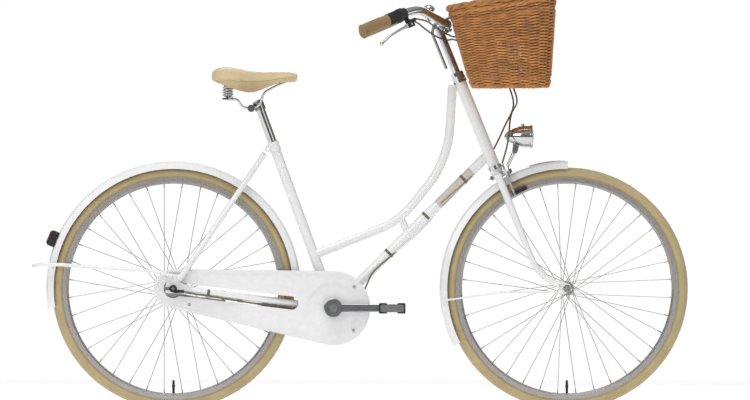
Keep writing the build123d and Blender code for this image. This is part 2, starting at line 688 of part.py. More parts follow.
# hub gear bellcrank on the right axle end
crank_y = -(drop_out + 11.0)
bell_body = rod((0, crank_y - 15.5, axle_z), (0, crank_y - 1.5, axle_z), 11.0)
bell_body = bell_body + rod((0, crank_y - 17.0, axle_z), (0, crank_y - 15.5, axle_z), 9.0)
bell_body = bell_body + Pos(17, crank_y - 8, axle_z - 8) * Box(30, 6, 9)
bell_body = bell_body - rod((0, crank_y - 20, axle_z), (0, crank_y + 4, axle_z), axle_radius)

# ---------------------------------------------------------------- crankset
spindle_r = 8.5
crank_y0, crank_y1 = 62.0, 75.0
bb_cups = [ring(bb_x, bb_height, side * (bb_half + 2.5), side * (bb_half - 16), 17.0, spindle_r + running_fit)
           for side in (-1, 1)]
spindle = rod((bb_x, -crank_y1 + 2, bb_height), (bb_x, crank_y1 - 2, bb_height), spindle_r)


def crank(side, angle):
    """Arm with a boss at the spindle and an eye for the pedal axle."""
    lo, hi = sorted((side * crank_y0, side * crank_y1))
    out = Plane.XZ * make_face(Polyline((0, 12.5), (crank_length, 11), (crank_length, -11), (0, -12.5), close=True))
    arm = Pos(0, hi, 0) * extrude(out, hi - lo)
    arm = arm + rod((0, lo, 0), (0, hi, 0), 19.0 if side > 0 else 27.7)
    arm = arm + rod((crank_length, lo, 0), (crank_length, hi, 0), 12.5)
    arm = fillet(arm.faces().filter_by(Axis.Y).sort_by(Axis.Y)[0 if side < 0 else -1].edges(), 2.0)
    if side > 0:
        arm = arm + rod((0, 42.0, 0), (0, lo, 0), 15.0)
    else:
        arm = arm + rod((0, -chain_line + 1.2, 0), (0, -chain_line + 4.0, 0), 20.0)
        arm = arm + rod((0, hi, 0), (0, -chain_line + 1.2, 0), 17.5)
    arm = arm - rod((0, -90, 0), (0, 90, 0), spindle_r)
    arm = arm - rod((crank_length, -90, 0), (crank_length, 90, 0), 6.0)
    return Pos(bb_x, 0, bb_height) * (Rot(0, -angle, 0) * arm)


right_crank = crank(-1, 0.0)
left_crank = crank(1, 180.0)
crank_bolts = [rod((bb_x, side * (crank_y1 - 2), bb_height), (bb_x, side * (crank_y1 + 1.8), bb_height), 8.4)
               + rod((bb_x, side * crank_y1, bb_height), (bb_x, side * (crank_y1 + 1.8), bb_height), 11.5)
               for side in (-1, 1)]

pedal_in, pedal_out = crank_y1 + 5.0, crank_y1 + 97.0
pedal_width, pedal_height = 77.0, 30.0


def pedal_axle(side):
    x = bb_x - side * crank_length
    a = rod((x, side * crank_y0, bb_height), (x, side * (pedal_out - 4.0), bb_height), 6.0)
    return a + rod((x, side * (crank_y1 + 0.1), bb_height), (x, side * (crank_y1 + 4.0), bb_height), 8.0)


def pedal_frame(side):
    x = bb_x - side * crank_length
    y0, y1 = side * pedal_in, side * pedal_out
    f = rod((x, y0, bb_height), (x, y1, bb_height), 9.5)
    for y in (y0 + side * 1.25, y1 - side * 1.25):
        plate = Pos(x, y, bb_height) * Box(pedal_width - 8, 2.5, 22)
        plate = fillet(plate.edges().filter_by(Axis.Y), 9.0)
        f = f + plate
    for e in (-1, 1):
        for z in (-8.5, 8.5):
            f = f + rod((x + e * (pedal_width / 2 - 12), y0, bb_height + z),
                        (x + e * (pedal_width / 2 - 12), y1, bb_height + z), 2.0)
    f = f + rod((x, y1, bb_height), (x, y1 + side * 4.0, bb_height), 8.0)
    return f - rod((x, y0 - side * 5, bb_height), (x, y1 - side * 2.0, bb_height), 6.0 + running_fit)


def pedal_rubbers(side):
    x = bb_x - side * crank_length
    y0, y1 = side * (pedal_in + 2.5), side * (pedal_out - 2.5)
    ym, length = (y0 + y1) / 2, abs(y1 - y0)
    out = []
    for e in (-1, 1):
        block = Pos(x + e * (pedal_width / 2 - 12), ym, bb_height) * Box(24, length, pedal_height)
        block = fillet(block.edges().filter_by(Axis.Y), 4.0)
        grooves = []
        for i in range(7):
            y = ym + (i - 3) * length / 7.6
            for z in (-1, 1):
                grooves.append(Pos(x + e * (pedal_width / 2 - 12), y, bb_height + z * pedal_height / 2)
                               * Box(30, 3.0, 3.6))
        for z in (-8.5, 8.5):
            grooves.append(rod((x + e * (pedal_width / 2 - 12), y0 - side, bb_height + z),
                               (x + e * (pedal_width / 2 - 12), y1 + side, bb_height + z), 2.0))
        out.append(block - grooves)
    return out


# ---------------------------------------------------------------- saddle unit
post_low = from_seat(300.0, 0, 0)
post_top = from_seat(seatpost_top, 0, 0)
seatpost = rod(post_low, post_top, seatpost_radius) - rod(post_low, from_seat(seatpost_top - 20, 0, 0), 10.0)
saddle_x = post_top[0] - 130.5      # rear edge of the saddle
saddle_z = post_top[2] - 897.0 + 0.0


def saddle_section(x, half, top, low, edge):
    """Closed outline across the saddle: flat-domed top and a skirt."""
    pts = []
    for i in range(-6, 7):
        f = i / 6
        y = half * sin(f * pi / 2)
        z = top - (top - edge) * abs(sin(f * pi / 2)) ** 2.6
        pts.append((y, z))
    pts += [(half * 0.93, low), (0, low), (-half * 0.93, low)]
    plane = Plane(origin=(saddle_x + x, 0, saddle_z), x_dir=(0, 1, 0), z_dir=(1, 0, 0))
    wire = Spline(*[(a, b) for a, b in pts[:13]])
    return plane * make_face([wire, Polyline(pts[12], pts[13], pts[15], pts[0])])


saddle_shape = [            # station from the rear edge, half width, top, skirt, shoulder (as a share)
    (0.0, 0.60, 976.0, 957.0, 960.0),
    (0.05, 0.86, 988.0, 948.0, 958.0),
    (0.19, 1.00, 993.0, 934.0, 962.0),
    (0.34, 0.90, 987.0, 922.0, 956.0),
    (0.48, 0.62, 981.0, 920.0, 952.0),
    (0.66, 0.35, 979.0, 936.0, 955.0),
    (0.86, 0.24, 978.5, 948.0, 958.0),
    (0.985, 0.18, 974.0, 953.0, 958.0),
]


def saddle_cover():
    half = saddle_width / 2
    outer = loft([saddle_section(f * saddle_length, half * w, top, low, edge)
                  for f, w, top, low, edge in saddle_shape])
    inner = loft([saddle_section(f * saddle_length + (7 if f < 0.02 else -5 if f > 0.9 else 0),
                                 half * w - 6.5, top - 16, low - 12, edge - 10)
                  for f, w, top, low, edge in saddle_shape])
    return outer - inner


spring_x, spring_y = saddle_x + 46.0, 58.0
spring_r, spring_wire = 13.0, 2.4
spring_low, spring_high = saddle_z + 904.0, saddle_z + 942.0


def saddle_springs():
    out = []
    for side in (-1, 1):
        line = Helix(pitch=7.2, height=spring_high - spring_low - 2 * spring_wire - 1.6, radius=spring_r)
        start = line @ 0
        coil = sweep(Plane(origin=start, z_dir=line % 0) * Circle(spring_wire), path=line, is_frenet=True)
        out.append(Pos(spring_x, side * spring_y, spring_low + spring_wire + 0.8) * coil)
    return out


rail_y = 21.0
clamp_at = from_seat(seatpost_top - 16.0, 0, -seatpost_radius - 11.5)


def saddle_frame(cover):
    """Two rails from the nose plate past the clamp to the spring seats."""
    cx, cz = clamp_at[0], clamp_at[2]
    out = []
    for side in (-1, 1):
        pts = [(saddle_x + 216, side * 9, saddle_z + 951), (saddle_x + 188, side * 13, saddle_z + 940),
               (saddle_x + 150, side * 18, saddle_z + 920), (cx + 22, side * rail_y, cz + 1),
               (cx - 24, side * rail_y, cz + 0.5), (saddle_x + 74, side * 40, spring_low - 3.5),
               (spring_x, side * spring_y, spring_low - 3.5)]
        rail = bend(pts, 3.5, limit=30.0)
        x, y = spring_x, side * spring_y
        seat = rod((x, y, spring_low - 4.5), (x, y, spring_low), 15.6) - rail
        post = rod((x, y, spring_low), (x, y, spring_high + 60), 6.0) \
            + rod((x, y, spring_high), (x, y, spring_high + 3.0), 15.6)
        post = (post - cover).solids()
        post = min(post, key=lambda s: s.center().Z)
        out += [rail, seat, post]
    nose = Pos(saddle_x + 216, 0, saddle_z + 958) * Box(18, 30, 14) - cover - out[0] - out[3]
    out.append(min(nose.solids(), key=lambda s: s.center().Z) if len(nose.solids()) > 1 else nose)
    return out


def saddle_clamp():
    ringlet = rod(from_seat(seatpost_top - 30, 0, 0), from_seat(seatpost_top - 2, 0, 0), seatpost_radius + 3.0)
    barrel = rod((clamp_at[0], -32, clamp_at[2]), (clamp_at[0], 32, clamp_at[2]), 10.5)
    nuts = rod((clamp_at[0], -37, clamp_at[2]), (clamp_at[0], 37, clamp_at[2]), 6.5)
    return ringlet + barrel + nuts - rod(from_seat(seatpost_top - 40, 0, 0),
                                         from_seat(seatpost_top + 8, 0, 0), seatpost_radius)


# ---------------------------------------------------------------- fork and headset
front_in = front_spacing / 2
crown_s = 377.0


def fork():
    steerer = rod((0, 0, crown_s - 8), (0, 0, 692.0), steerer_radius)
    steerer = steerer + rod((0, 0, crown_s - 8), (0, 0, head_tube_low - 22.0), 14.8)
    steerer = steerer + rod((0, 0, head_tube_low - 22.0), (0, 0, head_tube_low - 11.5), 19.0)
    crown = rod((0, -40, crown_s), (0, 40, crown_s), 9.5)
    body = steerer + crown
    for side in (-1, 1):
        blade = rod((0, side * 40.0, 150.0), (0, side * 40.0, crown_s + 4), 8.5, 11.5)
        lower = bend([(0, side * 40.0, 151.0), (0, side * 40.0, 92.0), (16, side * 44.0, 50.0),
                      (fork_rake - 12, side * (front_in + 2.5), 12.0)], 8.5, limit=140.0)
        y0 = side * front_in if side > 0 else -front_in - 5.0
        tip = make_face(Polyline((fork_rake - 26, 34), (fork_rake - 6, 26), (fork_rake + 12, 8),
                                 (fork_rake + 12, -10), (fork_rake - 10, -12), (fork_rake - 26, -9),
                                 (fork_rake - 27, 4), (fork_rake - 17, 9), (fork_rake - 34, 22), close=True))
        tip = Pos(0, y0 + 5.0, 0) * extrude(Plane.XZ * tip, 5.0)
        outside = Pos(fork_rake, side * (front_in + 5.0 + 20), 0) * Box(36, 40, 40)
        inside = Pos(fork_rake, side * (front_in - 20), 0) * Box(36, 40, 40)
        body = body + blade + (lower - outside - inside) + tip
    axle_hole = rod((fork_rake, -80, 0), (fork_rake, 80, 0), front_axle_r + 0.1)
    slot = Pos(fork_rake + 1, 0, -10) * (Rot(0, 10, 0) * Box(2 * front_axle_r + 0.2, 160, 20))
    bore = rod((0, 0, crown_s - 20), (0, 0, 700.0), 11.1 + running_fit)
    bolt = rod((-60, 0, crown_s), (60, 0, crown_s), 3.0 + 0.05)
    return body - axle_hole - slot - bore - bolt


def headset_cups():
    top = rod((0, 0, head_tube_high - 13), (0, 0, head_tube_high), head_tube_radius - 2)
    top = top + rod((0, 0, head_tube_high), (0, 0, head_tube_high + 8.0), 20.0)
    low = rod((0, 0, head_tube_low), (0, 0, head_tube_low + 13), head_tube_radius - 2)
    low = low + rod((0, 0, head_tube_low - 11.0), (0, 0, head_tube_low), 20.5)
    bore = rod((0, 0, 300), (0, 0, 800), steerer_radius + running_fit)
    return [top - bore, low - bore]


def headset_nuts():
    h = head_tube_high + 8.0 + side_gap
    race = rod((0, 0, h), (0, 0, h + 10.0), 19.0)
    lock = Pos(0, 0, h + 11.5) * extrude(RegularPolygon(18.5, 6), 11.0)
    washer = rod((0, 0, h + 10.0), (0, 0, h + 11.5), 17.5)
    bore = rod((0, 0, 300), (0, 0, 800), steerer_radius)
    return [race - bore, washer - bore, lock - bore]


bar_t, bar_s = 25.0, 838.0


def stem():
    quill = rod((0, 0, 600.0), (0, 0, 838.0), 11.1)
    quill = quill + Pos(0, 0, 838.0) * Sphere(11.1)
    neck = rod((0, 0, 836.0), (bar_t, 0, bar_s), 10.0)
    barrel = rod((bar_t, -19, bar_s), (bar_t, 19, bar_s), 15.0)
    ear = Pos(bar_t - 2, 0, bar_s - 17) * Box(16, 14, 12)
    slit = Pos(bar_t, 0, bar_s - 20) * Box(1.6, 60, 22)
    bore = rod((bar_t, -30, bar_s), (bar_t, 30, bar_s), bar_radius)
    pinch = rod((bar_t - 14, 0, bar_s - 18.5), (bar_t + 12, 0, bar_s - 18.5), 3.03)
    cap = rod((0, 0, 845.0), (0, 0, 860.0), 6.6)
    body = quill + neck + barrel + ear - slit - bore - pinch - cap
    return body


def stem_bolts():
    hexa = Pos(0, 0, 845.0) * extrude(RegularPolygon(6.5, 6), 9.0)
    pinch = rod((bar_t - 14, 0, bar_s - 18.5), (bar_t + 10, 0, bar_s - 18.5), 3.0)
    pinch = pinch + rod((bar_t - 14, 0, bar_s - 18.5), (bar_t - 10.1, 0, bar_s - 18.5), 5.0)
    return [hexa, pinch]


# handlebar: straight middle, then rising and swept back on each side
bar_b = (bar_t, 70.0, bar_s)
bar_c = (-35.0, 205.0, 913.0)
bar_end = (-205.0, bar_half_width, 910.0)


def handlebar():
    right = [(p[0], -p[1], p[2]) for p in (bar_end, bar_c, bar_b)]
    pts = right + [bar_b, bar_c, bar_end]
    return bend(pts, bar_radius, radii=[95.0, 85.0, 85.0, 95.0], inner=bar_radius - 1.6)


def bar_frame(side):
    """Frame on the bar end: Z runs inwards along the bar, X points down and away."""
    end = V(bar_end[0], side * bar_end[1], bar_end[2])
    c = V(bar_c[0], side * bar_c[1], bar_c[2])
    z = (c - end).normalized()
    down = V(0, 0, -1)
    x = (down - z * down.dot(z)).normalized()
    return Plane(origin=end, x_dir=x, z_dir=z).location


def grip(length):
    body = rod((0, 0, -6), (0, 0, length), grip_radius)
    body = fillet(body.edges(), 3.0)
    for i in range(int((length - 16) / 7)):
        z = 8 + 7 * i
        body = body - (rod((0, 0, z), (0, 0, z + 2.2), grip_radius + 1) - rod((0, 0, z - 1), (0, 0, z + 4), grip_radius - 0.9))
    return body - rod((0, 0, 0), (0, 0, length + 2), bar_radius)


right_grip_length, left_grip_length = 88.0, 130.0
twist_start = right_grip_length + side_gap
twist_end = twist_start + 34.0


def twist_sleeve():
    body = rod((0, 0, twist_start), (0, 0, twist_end), 17.5)
    ribs = []
    for i in range(16):
        a = 2 * pi * i / 16
        ribs.append(rod((18.4 * cos(a), 18.4 * sin(a), twist_start + 4),
                        (18.4 * cos(a), 18.4 * sin(a), twist_end - 4), 1.8))
    return body - ribs - rod((0, 0, 0), (0, 0, 200), bar_radius + running_fit)


def shifter_housing():
    z0 = twist_end + side_gap
    body = rod((0, 0, z0), (0, 0, z0 + 15.0), 19.0)
    body = body + Pos(14, 12, z0 + 7.5) * Box(14, 12, 13)
    spout = rod((15, 14, z0 + 13), (15, 14, z0 + 24), 4.5)
    return body + spout - rod((0, 0, 0), (0, 0, 200), bar_radius)


lever_z = twist_end + side_gap + 15.0 + 1.0      # start of the lever clamp
pivot_x, pivot_z = 37.0, lever_z + 12.0


def lever_bracket():
    clamp = rod((0, 0, lever_z), (0, 0, lever_z + 11.0), 15.5)
    web = Pos(22, 0, lever_z + 6.5) * Box(34, 6.5, 13)
    cheeks = Pos(pivot_x - 2, 0, pivot_z + 1) * Box(20, 15, 19)
    gap = Pos(pivot_x + 2, 0, pivot_z - 4) * Box(24, 8.6, 24)
    stop = rod((pivot_x - 9, 0, pivot_z + 8), (pivot_x - 9, 0, pivot_z + 22), 5.0)
    body = clamp + cheeks + web + stop - gap
    body = body - rod((0, 0, 0), (0, 0, 260), bar_radius)
    body = body - rod((pivot_x, -20, pivot_z), (pivot_x, 20, pivot_z), 3.0 + running_fit)
    body = body - rod((pivot_x - 9, 0, pivot_z), (pivot_x - 9, 0, pivot_z + 30), 1.2)
    return max(body.solids(), key=lambda s: s.volume)


def brake_lever():
    """Blade under the grip, with its pivot pin."""
    pts = [(pivot_x, 0, pivot_z - 2), (pivot_x + 3, 0, pivot_z - 42), (pivot_x + 8, 0, pivot_z - 78),
           (pivot_x + 19, 0, pivot_z - 112)]
    blade = bend(pts, 4.0, limit=90.0)
    root = Pos(pivot_x, 0, pivot_z - 6) * Box(13, 7.6, 24)
    pin = rod((pivot_x, -9, pivot_z), (pivot_x, 9, pivot_z), 3.0)
    ball = Pos(pivot_x + 19, 0, pivot_z - 112) * Sphere(6.0)
    hub_end = rod((pivot_x, -3.8, pivot_z), (pivot_x, 3.8, pivot_z), 7.0)
    return blade + root + pin + ball + hub_end


def bell():
    """Clamp band on the left half of the bar with a domed gong above it."""
    b, c = V(*bar_b), V(*bar_c)
    u = (c - b).normalized()
    mid = b + (c - b) * 0.56
    band = rod(mid - u * 6, mid + u * 6, bar_radius + 2.6) - rod(mid - u * 8, mid + u * 8, bar_radius)
    up = (V(0, 0, 1) - u * u.Z).normalized()
    foot = rod(mid + up * (bar_radius + 1.0), mid + up * (bar_radius + 7.0), 6.0)
    base = rod(mid + up * (bar_radius + 6.0), mid + up * (bar_radius + 8.0), 14.0)
    dome = (Sphere(17.0) - Sphere(15.6)) & (Pos(0, 0, 10) * Box(60, 60, 20))
    gong = Plane(origin=mid + up * (bar_radius + 8.5), z_dir=up).location * dome
    gong = gong + rod(mid + up * (bar_radius + 8.0), mid + up * (bar_radius + 24.5), 2.4)
    lever = rod(mid + up * (bar_radius + 7.0) + u * 10, mid + up * (bar_radius + 7.0) - u * 24, 1.8)
    return band + foot + base + lever - rod(mid - u * 8, mid + u * 8, bar_radius), gong


# ---------------------------------------------------------------- basket and hooks
basket_z0 = 932.0
basket_mid_low = wheelbase - 163.0
basket_mid_top = wheelbase - 187.0
basket_rim_z = 1186.0
rim_tilt = 9.5
basket_wall = 5.0
basket_low_depth, basket_low_width = 226.0, 300.0


def basket_outline(depth, width, corner):
    return RectangleRounded(depth, width, corner)


def basket():
    low = Plane(origin=(basket_mid_low, 0, basket_z0))
    top = Plane(origin=(basket_mid_top, 0, basket_rim_z), x_dir=(cos(radians(rim_tilt)), 0, sin(radians(rim_tilt))),
                z_dir=(-sin(radians(rim_tilt)), 0, cos(radians(rim_tilt))))
    d, w = basket_depth + 2, basket_width
    t = basket_wall
    outer = loft([low * RectangleRounded(basket_low_depth, basket_low_width, 55.0), top * RectangleRounded(d, w, 75.0)])
    low_in = Plane(origin=(basket_mid_low, 0, basket_z0 + 7))
    top_in = top.offset(8.0)
    inner = loft([low_in * RectangleRounded(basket_low_depth - 2 * t, basket_low_width - 2 * t, 50.0),
                  top_in * RectangleRounded(d + 2 - 2 * t, w + 2 - 2 * t, 70.0)])
    body = outer - inner
    for drop, r, grow in ((0.0, 8.5, -2.0), (19.0, 5.5, -1.5)):
        plane = top.offset(-drop)
        k = drop / 254.0
        wire = (plane * RectangleRounded(d + grow - 88 * k, w + grow - 60 * k, 74.0 - 20 * k)).wire()
        start = wire @ 0
        body = body + sweep(Plane(origin=start, z_dir=wire % 0) * Circle(r), path=wire)
    foot_plane = Plane(origin=(basket_mid_low, 0, basket_z0 + 4))
    wire = (foot_plane * RectangleRounded(basket_low_depth - 6, basket_low_width - 6, 52.0)).wire()
    body = body + sweep(Plane(origin=wire @ 0, z_dir=wire % 0) * Circle(6.0), path=wire)
    return body


hook_r = 4.0


def hook(y):
    top_s = bar_s + bar_radius + hook_r + 0.25
    pts = [(bar_t + 32, y, top_s + 2.0), (bar_t + 4, y, top_s), (-8.0, y, top_s - 1.0), (-23.0, y, 830.0), (-23.0, y, 720.0)]
    return bend(pts, hook_r, limit=14.0)


hooks = [hook(-27.0), hook(27.0)]

# ---------------------------------------------------------------- front brake
pivot_t0 = 12.0
arm_profile = [(-8, 371), (-8, 383), (2, 386.5), (16, 386), (36, 374), (44, 350), (42, 306), (33, 306),
               (35, 350), (29, 364), (14, 371.5), (4, 369.5)]
pad_tilt = 3.9
arm_a_t, arm_b_t = 20.5, 27.0
stack_t = arm_b_t + 6.2      # front of both arms
pad_gap = 2.0


def caliper_arm(side, t0, tail):
    """One arm with its pad; side is the side of the rim it presses on."""
    pts = [(side * y, s) for y, s in arm_profile]
    face = make_face(Polyline(*pts, close=True))
    yz = Plane(origin=(t0, 0, 0), x_dir=(0, 1, 0), z_dir=(1, 0, 0))
    arm = extrude(yz * face, 6.0)
    tail_face = make_face(Polyline(*tail, close=True))
    arm = arm + extrude(yz * tail_face, 6.0)
    arm = arm + rod((t0, 0, crown_s), (t0 + 6.0, 0, crown_s), 8.0)
    arm = arm - rod((0, 0, crown_s), (60, 0, crown_s), 3.0 + running_fit)
    mid_t, mid_s = 41.0, 313.0
    pin = rod((t0 + 3, side * (rim_width / 2 + pad_gap + 8), mid_s - 1), (t0 + 3, side * 47.0, mid_s - 1), 3.2)
    holder = Pos(mid_t, side * (rim_width / 2 + pad_gap + 10.0), mid_s) * (Rot(0, -pad_tilt, 0) * Box(44, 4.0, 11))
    rubber = Pos(mid_t, side * (rim_width / 2 + pad_gap + 4.0), mid_s) * (Rot(0, -pad_tilt, 0) * Box(46, 8.0, 10))
    rubber = rubber - rod((fork_rake, -60, 0), (fork_rake, 60, 0), rim_inner_radius + 2.5)
    return [arm + pin + holder - rubber, rubber - pin]


right_tail = [(-14, 384), (-26, 391), (-48, 403), (-58, 403), (-58, 394), (-46, 388), (-38, 370)]
left_tail = [(6, 385), (-10, 383), (-38, 379), (-58, 378), (-58, 370), (-38, 369), (-10, 371), (0, 370)]


def caliper_bolt():
    b = rod((-28, 0, crown_s), (stack_t + 8.0, 0, crown_s), 3.0)
    nut = Plane(origin=(-22.5, 0, crown_s), z_dir=(1, 0, 0)).location * extrude(RegularPolygon(6.5, 6), 7.0)
    spacer = rod((9.8, 0, crown_s), (arm_a_t - 0.4, 0, crown_s), 7.0) - rod((-60, 0, crown_s), (60, 0, crown_s), 3.0)
    spacer = spacer - rod((0, 0, crown_s - 30), (0, 0, crown_s + 30), 14.8)
    mid = rod((stack_t + 0.2, 0, crown_s), (stack_t + 1.4, 0, crown_s), 7.0) - rod((-60, 0, crown_s), (60, 0, crown_s), 3.0)
    front = Plane(origin=(stack_t + 4.4, 0, crown_s), z_dir=(1, 0, 0)).location * extrude(RegularPolygon(6.5, 6), 5.0)
    return [b + nut + front, spacer, mid]


# ---------------------------------------------------------------- headlamp (bullet, level with the ground)
lamp_x, lamp_z = wheelbase - 181.0, 789.7
lamp_r = 33.0
lamp_pivot = (wheelbase - 150.0, 748.0)


def headlamp():
    prof = [(0, 0), (3, 6), (14, 15), (30, 24), (50, 31), (66, lamp_r), (74, lamp_r), (74, lamp_r + 1.6),
            (82, lamp_r + 1.6), (82, lamp_r - 3), (76, lamp_r - 3), (60, 26), (40, 17), (20, 6), (20, 0)]
    body = revolve(Plane.XY * make_face(Polyline(*prof, close=True)), Axis.X)
    body = Pos(lamp_x, 0, lamp_z) * body
    body = body + rod((lamp_x + 54, 0, lamp_z + 30), (lamp_x + 54, 0, lamp_z + 37), 4.5)
    px, pz = lamp_pivot
    solid = Pos(lamp_x, 0, lamp_z) * revolve(Plane.XY * make_face(Polyline(*prof[:7], (74, 0), close=True)), Axis.X)
    for side in (-1, 1):
        ear = Pos(px + 3, side * 9.5, (pz + lamp_z) / 2 - 2) * Box(16, 3, lamp_z - pz - 4)
        ear = ear + rod((px, side * 8, pz), (px, side * 11, pz), 8.0)
        body = body + (ear - solid)
    body = body + rod((px, -13, pz), (px, 13, pz), 2.5)
    glass = [(76.2, lamp_r - 3.2), (80, lamp_r - 3.2), (83, 22), (84.5, 10), (84.8, 0), (82.5, 0), (80.5, 18), (76.2, 27)]
    dome = revolve(Plane.XY * make_face(Polyline(*glass, close=True)), Axis.X)
    return body, Pos(lamp_x, 0, lamp_z) * dome


def lamp_bracket():
    px, pz = lamp_pivot
    plate_lo = steer * (Pos(stack_t + 2.9, 0, crown_s + 4) * Box(3.0, 15, 26))
    knuckle = rod((px, -7.5, pz), (px, 7.5, pz), 8.0)
    up = V(*from_steer(stack_t + 2.9, 0, crown_s + 16))
    strip = rod((up.X, 0, up.Z), (px - 3, 0, pz - 6), 4.5, 6.0)
    body = plate_lo + knuckle + strip
    body = body - steer * rod((-10, 0, crown_s), (60, 0, crown_s), 3.05)
    return body - rod((px, -20, pz), (px, 20, pz), 2.5 + running_fit)


# ---------------------------------------------------------------- front stays
def front_stays():
    out = []
    for side in (-1, 1):
        eye = from_steer(fork_rake - 20, side * (front_in + 5.0 + 3.0), -2.0)
        mid = (wheelbase - 180, side * 46.0, axle_z - 10)
        far = (wheelbase - 346, side * (mudguard_half_width + 3.2), axle_z - 33)
        wire = bend([eye, mid, far], 2.5, limit=300.0)
        stud = rod((far[0], side * mudguard_half_width, far[2]), (far[0], side * (mudguard_half_width + 7), far[2]), 4.5)
        eye_pin = rod((eye[0], side * (front_in + 5.08), eye[2]), (eye[0], side * (front_in + 11.0), eye[2]), 4.5)
        out.append(wire + stud + eye_pin)
    return out


# ---------------------------------------------------------------- cables
clip_u = 560.0              # first clip on the down tube, from the bottom bracket
cable_off = main_tube_radius + cable_radius + 1.8


def on_bar(x, y, z):
    p = (bar_frame(-1) * Pos(x, y, z)).position
    return (p.X, p.Y, p.Z)


def on_down_tube(u, turn, off=cable_off):
    """Point beside the down tube; turn is 0 on its left, 90 underneath."""
    a = radians(turn)
    p = V(*bb) + down_unit * u
    return (p.X + off * sin(a) * down_unit.Z, off * cos(a), p.Z - off * sin(a) * down_unit.X)


def to_steer(p):
    dx, dz = p[0] - steer_foot[0], p[2] - steer_foot[2]
    return (dx * sh + dz * ch, p[1], -dx * ch + dz * sh)


side_y = basket_width / 2 + 30.0     # cables pass the left wall of the basket here


def brake_points():
    guide = [on_bar(pivot_x - 9, 0, pivot_z + 23.0), on_bar(pivot_x - 9, 0, pivot_z + 42), (-14, -152, 850),
             (8, -92, 818), (23, -20, 806), (22, 55, 806), (31, 120, 800), (56, side_y - 25, 783),
             (90, side_y - 3, 752), (118, side_y, 708), (132, side_y - 12, 660), (138, side_y - 28, 606),
             (137, side_y - 62, 566), (127, 96, 547), (111, 48, 538), (94, 8, 518), (79, -24, 487),
             (62, -43, 453), (40, -52, 428), (arm_a_t + 5, -53.5, 417), (arm_a_t + 3, -53.5, 405.6)]
    return smooth(guide, 46.0)


def shift_points():
    z0 = twist_end + side_gap
    end = to_steer(on_down_tube(clip_u + 1.0, 4.0))
    guide = [on_bar(15, 14, z0 + 25.2), on_bar(15, 15, z0 + 46), (-44, -172, 858), (-24, -128, 826),
             (0, -78, 800), (20, -12, 793), (23, 60, 795), (32, 116, 789), (50, side_y - 42, 774),
             (80, side_y - 16, 744), (108, side_y - 12, 704), (123, side_y - 24, 655), (128, side_y - 40, 600),
             (124, side_y - 76, 558), (108, 96, 533), (88, 70, 518), (68, 50, 500), (42, 38, 474),
             (14, 30, 450), (-22, 25, 424), (end[0], end[1], end[2])]
    return smooth(guide, 46.0)


def rear_shift_points():
    turns = [(560, 4), (508, 6), (456, 22), (404, 48), (352, 78), (300, 108), (250, 134), (200, 152), (152, 163)]
    pts = [on_down_tube(u, a) for u, a in turns]
    bx, bz = bb_x, bb_height
    pts += [(bx + 92, -21, bz + 56), (bx + 68, -23, bz + 12), (bx + 38, -24, bz - 22), (bx + 2, -26, bz - 34),
            (bx - 38, -29, bz - 24), (bx - 78, -33, bz - 9), (bx - 121, -38, bz - 2)]
    for x, y, below in ((292, -43.5, 15.6), (228, -51, 13.8), (160, -60, 11.6), (98, -69, 8.8)):
        pts.append((x, y, axle_z - (x * (axle_z - bb_height) / bb_forward) - below))
    pts += [(62, -76, axle_z - 16), (32.3, -81, axle_z - 9)]
    return pts


def rear_shift_cable():
    pts = rear_shift_points()
    body = cable(pts, cable_radius, "rear gear cable")
    for i, a, b in ((-6, 0.45, 0.75), (-5, 0.4, 0.62), (-2, 0.3, 0.8)):
        p, q = V(*pts[i]), V(*pts[i + 1])
        body = body + rod(p + (q - p) * a, p + (q - p) * b, cable_radius + 1.1)
    return body


def cable_clips():
    out = []
    for u, turn in ((530.0, 4.8), (378.0, 63.0), (226.0, 143.0)):
        p, c = V(*bb) + down_unit * u, V(*on_down_tube(u, turn))
        a, b = p - down_unit * 4, p + down_unit * 4
        band = rod(a, b, main_tube_radius + 0.9)
        loop = rod(c - down_unit * 4, c + down_unit * 4, cable_radius + 1.6)
        band = band + loop - rod(c - down_unit * 9, c + down_unit * 9, cable_radius + 0.75)
        out.append(band - rod(a - down_unit, b + down_unit, main_tube_radius))
    a, b = V(chain_a.X, -chain_a.Y, chain_a.Z), V(chain_b.X, -chain_b.Y, chain_b.Z)
    unit = (b - a).normalized()
    m = a + unit * 50.0
    out.append(rod(m - unit * 4, m + unit * 4, stay_tube_radius + 0.9) - rod(m - unit * 6, m + unit * 6, stay_tube_radius))
    return out


save("seat_tube", seat_tube)
save("head_tube", head_tube)
save("bottom_bracket_shell", [bb_shell] + bb_cups)
save("down_tube", down_tube)
save("top_tube", [top_tube, brace])
stays, seat_stays = [chain_stay(1), chain_stay(-1)], [seat_stay(1), seat_stay(-1)]
bridges = stay_bridges(stays, seat_stays)
save("chainstays", stays + [dropout(1), dropout(-1), bridges[0]])
save("seatstays", seat_stays + [bridges[1]])
save("chaincase_outer", [chaincase_outer] + case_screws())
save("chaincase_inner", chaincase_inner)
save("chain", chain)
save("chainring", chainring)
save("rear_sprocket", rear_sprocket)
save("rear_mudguard", rear_guard)
save("front_mudguard", [front_guard, crest])
save("rear_hoop", rear_hoop())
save("tail_lamp", tail_lamp)
save("tail_lens", tail_lens)
for name, x, fl, half, barrel, bore in (
        ("rear", 0.0, rear_flange, rear_hub_half, hub_radius_rear, axle_radius),
        ("front", wheelbase, front_flange, front_hub_half, hub_radius_front, front_axle_r)):
    save(name + "_tyre", [tyre(x), valve(x)])
    save(name + "_rim", rim(x, *fl))
    save(name + "_spokes", spokes(x, *fl))
    save(name + "_hub", hub(x, barrel, *fl, half, bore + running_fit))
save("rear_axle", rear_axle + [coaster_arm, strap])
save("front_axle", front_axle)
save("shift_bellcrank", bell_body)
save("crank_spindle", [spindle] + crank_bolts)
save("right_crank", [right_crank, pedal_axle(-1)])
